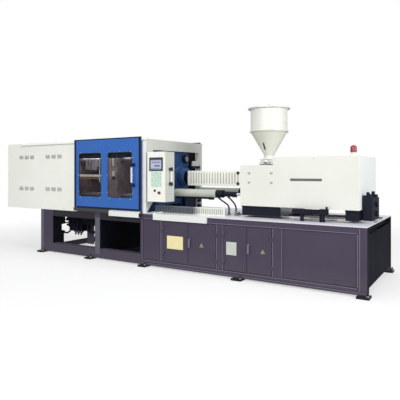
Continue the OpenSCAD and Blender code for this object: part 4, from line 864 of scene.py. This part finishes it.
# %% Panel gaps and lips
X_CAB, X_END, Z_LOW, Z_HIGH = -0.378, 2.066, 0.085, 0.548    # left post's edge, and the panels' right, foot and top
GAP, LIP_WIDTH, JOINT_PROUD = 0.0075, 0.0060, 0.0006
# each post edge, and which way the post lies from it
POST_EDGES = ((-0.338, -1), (-0.091, 1), (-0.049, -1), (0.641, 1), (0.739, -1), (1.272, 1), (1.388, -1), (2.066, 1))


def joint(edge, way):
    """The extent of the painted shade in a gap that starts at an edge, and of the painted highlight on the lip that
    follows it.
    """
    return sorted((edge, edge + way * GAP)), sorted((edge + way * GAP, edge + way * (GAP + LIP_WIDTH)))


gaps, lip_highlights = Tray(), Tray()
for side in (-1, 1):
    y0, y1 = side * (FACE - SINK), side * (FACE + JOINT_PROUD)
    for z, way in ((Z_LOW, -1), (Z_HIGH, 1)):
        for tray, extent in zip((gaps, lip_highlights), joint(z, way)):
            tray.block(X_CAB + 0.040, X_END, y0, y1, *extent)
    gaps.block(X_CAB, 2.160, y0, y1, 0.044, 0.050)      # fold of the skirt
    lip_highlights.block(X_CAB, 2.160, y0, y1, 0.038, 0.044)
    for x, way in POST_EDGES:
        for tray, extent in zip((gaps, lip_highlights), joint(x, way)):
            tray.block(*extent, y0, y1, Z_LOW, Z_HIGH)
    lip_highlights.block(2.094, 2.099, y0, y1, 0.052, 0.600)      # fold of the right post
gaps.piece("panel_gap_shade", GAP_SHADE, "frame", "dark_paint")
lip_highlights.piece("panel_lip_highlights", LIP_HIGHLIGHT, "frame", "dark_paint")
# A dark strip at each door's seam is painted shade.
for door, x in (("door_1", 0.2945), ("door_3", 1.0035)):
    seam = Tray()
    seam.block(x - 0.004, x, -FACE - 0.0002, 0.001 - FACE, Z_LOW + 0.004, Z_HIGH - 0.004)
    seam.piece(door + "_seam_shade", GAP_SHADE, door, "dark_paint")

# %% [markdown]
# The two posts of the open half look lighter than the beams over them, which lie in the shade of the gate's sill.
# Thin plates in two tones give them that: painted light on the posts and painted shade on the beams.

# %% Post faces and shaded beams
X_LEFT = round(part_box("base_frame")[0].x, 4)
POST_LEFT, POST_RIGHT = -1.120, -1.031               # sides of the middle post
y0, y1 = -FACE - 0.0008, SINK - FACE
posts, beams = Tray(), Tray()
posts.block(POST_LEFT + 0.006, POST_RIGHT - 0.006, y0, y1, 0.070, 0.530)
posts.block(X_LEFT + 0.002, X_LEFT + 0.060, y0, y1, 0.030, 0.580)
posts.piece("post_faces", plain("post_painted_light", colour(94, 91, 104), colour(82, 79, 92)), "frame", "dark_paint")
for x0, x1 in ((-1.908, POST_LEFT - 0.002), (POST_RIGHT + 0.001, X_CAB - 0.007)):
    beams.block(x0, x1, y0, y1, 0.504, 0.587)
beams.piece("beam_shade", plain("beam_painted_shade", colour(34, 30, 40), colour(26, 23, 31), rough=0.8), "frame",
            "dark_paint")

# %% [markdown]
# ## Portal
# A small dark blue bar with two bushes is held to the portal's rear column. A splash plate
# stands on the deck inside the portal, and two black plugs close the column's lower holes.

# %% Guide bar, splash plate and plugs
PORTAL_X = round(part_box("portal_cover")[1].x, 4)     # right face of the portal
BAR_HALF, BAR_Z = 0.017, 1.163
bar = Tray()
bar.block(PORTAL_X - 0.002, PORTAL_X + 0.032, 0.300, 0.520, BAR_Z - BAR_HALF, BAR_Z + BAR_HALF)
for y in (0.330, 0.480):
    bar.rod((PORTAL_X + 0.032, y, BAR_Z), (PORTAL_X + 0.044, y, BAR_Z), 0.012)
bar.piece("guide_bar_navy", NAVY, "frame", "blue_paint", 0.001)
bracket = Tray()
bracket.block(PORTAL_X - 0.004, PORTAL_X + 0.022, 0.360, 0.500, BAR_Z + BAR_HALF, 1.246)
bracket.piece("guide_bar_bracket", SHADED, "frame", "cream_paint", 0.001)
splash = Tray()
splash.block(PORTAL_X - 0.010, PORTAL_X - 0.006, 0.200, 0.466, DECK - SINK, 0.860)
splash.piece("portal_splash_plate", NAVY, "frame", "blue_paint", 0.001)
plugs = Tray()
for z in (0.713, 0.640):
    plugs.rod((PORTAL_X, 0.510, z), (PORTAL_X + 0.044, 0.510, z), 0.024, 20)
plugs.piece("column_plugs", BLACK_PLASTIC, "frame", "black_plastic")

# %% [markdown]
# ## Under the clamp
# A valve manifold hangs under the front clamp beam beside the cooler. A drain pipe stands
# on the floor, hoses run to the valves, and a small terminal box sits in the open bay. In
# the photograph they are a few dark pixels, so they are built from plain forms only.

# %% Manifold, valves, terminal box and pipes
TOP = BEAM_UNDER + SINK                              # pieces that hang reach into the beam
LEFT, RIGHT, FRONT, BACK = -1.945, -1.700, -0.300, -0.185     # sides of the manifold
VALVE_WIDE, VALVE_PITCH, VALVE_FRONT = 0.050, 0.066, -0.352
PIPE_X, PIPE_Y = -2.080, -0.300
bay = Tray()
bay.block(LEFT, RIGHT, FRONT, BACK, 0.270, TOP)
for i in range(3):
    x = LEFT + 0.040 + i * VALVE_PITCH
    bay.block(x, x + VALVE_WIDE, VALVE_FRONT, FRONT + 0.001, 0.330 - 0.012 * i, 0.480)
    for z, length, radius in ((0.440, 0.058, 0.019), (0.365, 0.043, 0.016)):       # solenoids
        bay.rod((x + VALVE_WIDE / 2, VALVE_FRONT, z), (x + VALVE_WIDE / 2, VALVE_FRONT - length, z), radius)
bay.block(-2.090, -1.935, -0.445, -0.380, 0.375, 0.4965)                           # terminal box
bay.block(-2.050, -2.010, -0.440, -0.200, 0.4955, TOP)                             # and its bracket
for z0, z1, radius in ((0.004, 0.250, 0.015), (0.0005, 0.014, 0.030)):             # drain pipe, its foot
    bay.rod((PIPE_X, PIPE_Y, z0), (PIPE_X, PIPE_Y, z1), radius)
bay.rod((PIPE_X - 0.020, PIPE_Y, 0.240), (PIPE_X + 0.020, PIPE_Y, 0.240), 0.025)   # and its tee
bay.rod((-1.980, -0.240, 0.440), (LEFT + 0.005, -0.240, 0.440), 0.020)             # hand valve
bay.rod((-2.060, -0.240, 0.440), (-1.975, -0.240, 0.440), 0.009)                   # and its stem
bay.piece("bay_manifold", BLACK, "frame", "black_steel", 0.002)
shield = Tray()
shield.block(RIGHT, -1.560, -0.196, -0.192, 0.090, TOP)
shield.piece("bay_shield", DARK, "frame", "dark_paint", 0.001)

# %% [markdown]
# A hose hangs in a curve between its two ends. The sine of the way along it is near enough
# to such a curve, and three hoses sway sideways too, so that they don't look drawn by rule.

# %% Hoses in the open bay
def hang(tray, start, end, sag, radius, count, sway=0.0):
    """A hose between two points that hangs down by sag and bends sideways by sway."""
    a, b = Vector(start), Vector(end)
    tray.tube([a.lerp(b, t) + Vector((0, sway * math.sin(math.tau * t), -sag * math.sin(math.pi * t)))
               for t in line(0, 1, count)], radius)


hoses = Tray()
hang(hoses, (PIPE_X + 0.020, PIPE_Y, 0.240), (LEFT + 0.015, -0.270, 0.290), 0.030, 0.012, 15)
hang(hoses, (-1.936, -0.410, 0.410), (-1.886, -0.350, 0.410), 0.020, 0.009, 12)
for x in (LEFT + 0.020, LEFT + 0.075, LEFT + 0.130):
    hang(hoses, (x, -0.240, 0.272), (x + 0.090, -0.240, 0.272), 0.055, 0.010, 14, sway=0.020)
hoses.piece("bay_hoses", RUBBER, "frame", "hose_rubber")

# %% [markdown]
# ## Behind the gate
# A black cable duct runs along the top of the opening, its black standing in for the shade there as painted shade,
# and an orange rail hangs under the safety bar. Both are seen only through the windows, so a few blocks are enough.

# %% Cable duct and orange rail
DUCT_LEFT, DUCT_RIGHT, DUCT_FRONT = -1.470, -0.376, -0.598
duct = Tray()
duct.block(DUCT_LEFT, DUCT_RIGHT, DUCT_FRONT, -0.560, 1.272, 1.345)
duct.block(DUCT_LEFT, -1.448, -0.612, DUCT_FRONT + 0.002, 1.290, 1.330)      # its bracket on the clamp cover
for x in line(-1.38, -0.46, 9):                                              # raised fields of its lid
    duct.block(x - 0.012, x + 0.012, DUCT_FRONT - 0.003, DUCT_FRONT, 1.280, 1.337)
duct.piece("cable_duct", BLACK, "frame", "black_steel", 0.0015)
lo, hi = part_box("safety_bar")
rail = Tray()
rail.block(lo.x + 0.03, hi.x - 0.03, lo.y - 0.002, lo.y + 0.014, lo.z - 0.032, lo.z - 0.010)
for x in line(lo.x + 0.06, hi.x - 0.06, 4):
    rail.block(x - 0.006, x + 0.006, lo.y + 0.002, lo.y + 0.010, lo.z - 0.010, lo.z + 0.002)
rail.piece("orange_rail", ORANGE, "moving_platen", "cream_paint", 0.001)

# %% [markdown]
# The moving platen carries a grey valve block on its front side, a bent grease pipe, and
# plugs in its bores. They ride on the platen, so they travel with it when the clamp opens.

# %% Valve block, grease pipe and plugs
BLOCK_LEFT, BLOCK_RIGHT, BLOCK_FRONT, BLOCK_Z = -1.515, -1.335, -0.400, 1.200
valves = Tray()
valves.block(BLOCK_LEFT, BLOCK_RIGHT, BLOCK_FRONT, -0.346, BLOCK_Z - 0.075, BLOCK_Z + 0.075)
valves.block(BLOCK_RIGHT - 0.005, -1.262, -0.372, 0.002 - PLATEN_SIDE, BLOCK_Z - 0.030, BLOCK_Z + 0.030)
for x in line(BLOCK_LEFT + 0.035, BLOCK_RIGHT - 0.035, 3):
    valves.block(x - 0.018, x + 0.018, BLOCK_FRONT - 0.012, BLOCK_FRONT + 0.001, BLOCK_Z - 0.060, BLOCK_Z + 0.060)
valves.piece("platen_valve_block", VALVE, "moving_platen", "casting_paint", 0.002)
pipes = Tray()
pipes.tube([(-1.270, -0.342, 0.954), (-1.290, -0.352, 0.965)] +
           [(-1.296, -0.356, z) for z in line(0.980, 1.270, 6)] +
           [(-1.290, -0.352, 1.285), (-1.270, -0.342, 1.296)], 0.006)
pipes.block(-1.075, -1.035, -0.353, 0.001 - PLATEN_SIDE, 1.045, 1.110)
pipes.block(-1.072, -1.050, -0.350, 0.001 - PLATEN_SIDE, 1.180, 1.280)
pipes.piece("platen_grease_pipe", PULL, "moving_platen", "cream_paint", 0.001)
plugs = Tray()
for x, z, radius, out in ((-1.052, 1.020, 0.016, 0.024), (-1.230, 1.130, 0.020, 0.020),
                          (-1.230, 0.930, 0.020, 0.020)):
    plugs.rod((x, 0.002 - PLATEN_SIDE, z), (x, -PLATEN_SIDE - out, z), radius)
plugs.piece("platen_plugs", BLACK_PLASTIC, "moving_platen", "black_plastic", 0.001)

# %% [markdown]
# ## Guards
# The barrel guard, the fence and the injection cover have open slots. What lies behind them is out of reach of the
# lamps, so a thin plate behind each row of slots is painted shade, in the tone of the shade there. Two black knobs
# hold the barrel guard.

# %% Plates behind the slots, and guard knobs
liner = Tray()
for side in (-1, 1):
    liner.block(-0.050, 0.806, side * 0.0870, side * 0.0892, 0.952, 1.108)
liner.piece("guard_liner", plain("slot_shade_pale", colour(176, 176, 160), colour(158, 158, 144), rough=0.6),
            "carriage", "cream_paint")
lo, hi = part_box("slotted_guard")
SHADE_END = 0.320      # where the shade on the fence ends
# Painted shade behind the fence's slots: dark beside the portal, grey further on.
SLOT_SHADE_DARK = plain("slot_shade_dark", colour(34, 40, 62), colour(46, 52, 72), rough=0.6)
SLOT_SHADE_MID = plain("slot_shade_mid", colour(178, 180, 178), colour(160, 162, 162), rough=0.6)
for name, tone, x0, x1 in (("fence_liner_dark", SLOT_SHADE_DARK, lo.x + 0.01, SHADE_END),
                           ("fence_liner_pale", SLOT_SHADE_MID, SHADE_END, hi.x - 0.01)):
    liner = Tray()
    liner.block(x0, x1, hi.y + 0.004, hi.y + 0.006, lo.z - SINK, hi.z - 0.006)
    liner.piece(name, tone, "frame", "white_paint")
# Painted shade behind the injection cover's slots.
backing = Tray()
for side in (-1, 1):
    backing.block(1.370, 1.700, side * 0.3862, side * 0.3845, 1.005, 1.039)
backing.piece("slot_backing", plain("slot_shade_grey", colour(104, 104, 98), colour(88, 88, 84), rough=0.6),
              "carriage", "cream_paint")
lo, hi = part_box("barrel_guard")
knobs = Tray()
for z in (0.966, 1.088):
    knobs.spin([(0.012, -0.002), (0.018, 0.0), (0.018, 0.009), (0.012, 0.014)], (0.636, lo.y, z), 20, (0, -1, 0))
knobs.piece("guard_knobs", BLACK_PLASTIC, "carriage", "black_plastic")

# %% [markdown]
# ## Injection unit
# A blue turned ring on the fixed platen surrounds the nozzle. It is spun from half of its
# section, as it would be on a lathe, and bored so that the barrel can pass.

# %% Nozzle ring
nozzle = Tray()
nozzle.spin([(0.083, 0.0), (0.140, 0.0), (0.140, 0.120), (0.134, 0.128), (0.112, 0.128), (0.112, 0.214),
             (0.107, 0.220), (0.083, 0.220)], (-0.340 - SINK, 0, AXIS), 64, (1, 0, 0), bored=True)
nozzle.piece("nozzle_ring", PLATEN, "frame", "blue_paint")

# %% [markdown]
# Black covers on two round feet hide the switch rail beside the carriage. It lies in the
# shade of the injection cover, so the covers' outline matters more than their detail.

# %% Switch rail cover
cover = Tray()
cover.block(1.418, 1.600, -0.447, -0.399, 0.690, 0.738)
cover.block(1.600, 1.760, -0.440, -0.406, 0.716, 0.738)
cover.block(1.690, 1.765, -0.450, -0.396, 0.692, 0.744)
for x, z0, z1, radius, sides in ((1.710, DECK - SINK, 0.700, 0.026, 20), (1.510, DECK - SINK, 0.700, 0.018, 20),
                                 (1.752, 0.744, 0.768, 0.010, 16)):
    cover.rod((x, -0.423, z0), (x, -0.423, z1), radius, sides)
cover.piece("switch_rail_cover", BLACK, "frame", "black_steel", 0.0015)

# %% [markdown]
# Round screws hold the injection cover along its foot and its top. The hopper's bin is
# welded to its cone, a dark sight strip on the cone shows how much material is left, and a
# turned knob lifts the lid. The strip is built flat and then turned to the cone's slope.

# %% Cover screws, hopper weld, sight strip and lid knob
lo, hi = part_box("injection_cover")
screws = Tray()
for side in (-1, 1):
    for x in line(lo.x + 0.025, hi.x - 0.025, 6):
        screws.screw_head((x, side * hi.y, lo.z + 0.022), (0, side, 0))
    for x in line(1.215, hi.x - 0.025, 5):
        screws.screw_head((x, side * hi.y, hi.z - 0.022), (0, side, 0))
screws.piece("injection_cover_screws", STEEL, "carriage", "bright_steel")

HOPPER_X = 0.980
CONE_FOOT, CONE_TOP, R_NECK, R_BIN = 1.288, 1.550, 0.055, 0.206
weld = Tray()
weld.spin([(R_BIN + 0.007, CONE_TOP - 0.006), (R_BIN + 0.0105, CONE_TOP - 0.002), (R_BIN + 0.0105, CONE_TOP + 0.006),
           (R_BIN + 0.007, CONE_TOP + 0.010)], (HOPPER_X, 0, 0), 64, bored=True)
weld.piece("hopper_weld", SHADED, "carriage", "bright_steel")

strip = Tray()
slope = Matrix.Rotation(math.atan2(R_BIN - R_NECK, CONE_TOP - CONE_FOOT), 4, "X")
turn = Matrix.Rotation(math.radians(-5), 4, "Z") @ Matrix.Translation((0, -R_NECK, 0)) @ slope
for v in strip.block(-0.008, 0.008, -0.0035, 0.002, 0.070, 0.152):
    v.co = Vector((HOPPER_X, 0, CONE_FOOT)) + turn @ v.co
strip.piece("sight_strip", BLACK_PLASTIC, "carriage", "black_plastic", 0.001)

lo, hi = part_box("hopper_lid")
knob = Tray()
knob.spin([(0.010, 0), (0.010, 0.004), (0.007, 0.010), (0.014, 0.018), (0.016, 0.026), (0.010, 0.032)],
          (HOPPER_X, 0, hi.z))
knob.piece("lid_knob", BLACK_PLASTIC, "carriage", "black_plastic")

# %% [markdown]
# ## Floor
# The photograph has a plain white ground. A pale disc that fades out at its rim carries the soft shadows.

# %% Floor
def floor_paint():
    """A pale matt paint that is clear beyond the machine's shadow."""
    p = Paint("floor_pale")
    far = p.place().dot(p.place()) ** 0.5
    tone = p.mix(p.noise(0.8, 3.0, 0.5) * 0.3, (0.90, 0.90, 0.905, 1), (0.87, 0.87, 0.875, 1))
    p.set(Base_Color=tone, Roughness=0.75, Specular_IOR_Level=0.1, Alpha=0.44 * (1.0 - far.ramp(2.8, 6.2)))
    return p.material


RIM, SIDES = 6.6, 96
rim = [(RIM * math.cos(math.tau * k / SIDES), RIM * math.sin(math.tau * k / SIDES), 0) for k in range(SIDES)]
disc = bpy.data.meshes.new("floor")
disc.from_pydata([(0, 0, 0)] + rim, [], [(0, 1 + k, 1 + (k + 1) % SIDES) for k in range(SIDES)])
disc.materials.append(floor_paint())
floor = bpy.data.objects.new("floor", disc)
bpy.context.scene.collection.objects.link(floor)
print("floor radius", RIM)

# %% [markdown]
# ## Light
# Large soft lamps stand in front, above, to the right and behind, as in a studio, and a
# small one shines behind the gate's windows. The camera sees the world as plain white,
# while the machine gets only a weak grey light from it, which keeps the shadows open.

# %% Background
world = bpy.data.worlds.new("studio")
bpy.context.scene.world = world
world.use_nodes = True
sky = Recipe(world.node_tree)
seen = sky.node("ShaderNodeLightPath", output="Is Camera Ray")
seen = seen.math("MAXIMUM", seen, sky.node("ShaderNodeLightPath", output="Is Transmission Ray"))
grey = sky.node("ShaderNodeBackground", {"Color": (0.94, 0.97, 1.0, 1), "Strength": 0.34})
white = sky.node("ShaderNodeBackground", {"Color": (1, 1, 1, 1), "Strength": 1.0})
surface = sky.tree.nodes["World Output"].inputs["Surface"]
sky.feed(surface, sky.node("ShaderNodeMixShader", {0: seen, 1: grey, 2: white}))
bpy.context.scene.view_settings.view_transform = "Standard"
print("background", world.name)


# %% Lamps
def lamp(name, place, target, size, power, tint=(1, 1, 1)):
    """A soft rectangular lamp that points at a target."""
    data = bpy.data.lights.new(name, "AREA")
    data.shape = "RECTANGLE"
    data.size, data.size_y = size
    data.energy = power
    data.color = tint
    made = bpy.data.objects.new(name, data)
    made.location = place
    made.rotation_euler = (Vector(target) - Vector(place)).to_track_quat("-Z", "Y").to_euler()
    bpy.context.scene.collection.objects.link(made)
    print("lamp", name, power, "W")


lamp("key", (0.5, -8.4, 4.0), (-0.6, 0, 0.9), (8.5, 3.0), 505, (1.0, 0.99, 0.97))
lamp("top", (-0.2, -0.5, 5.2), (-0.2, 0, 0.5), (6.0, 3.0), 100)
lamp("side", (7.0, -1.5, 2.8), (1.0, 0, 0.9), (3.0, 2.5), 255, (0.97, 0.985, 1.0))
lamp("back", (-1.0, 6.0, 3.5), (-0.2, 0, 0.9), (5.0, 2.5), 90)
lamp("inside", (-1.35, -0.42, 1.465), (-1.35, -0.10, 0.9), (1.3, 0.12), 4, (1.0, 0.95, 0.88))
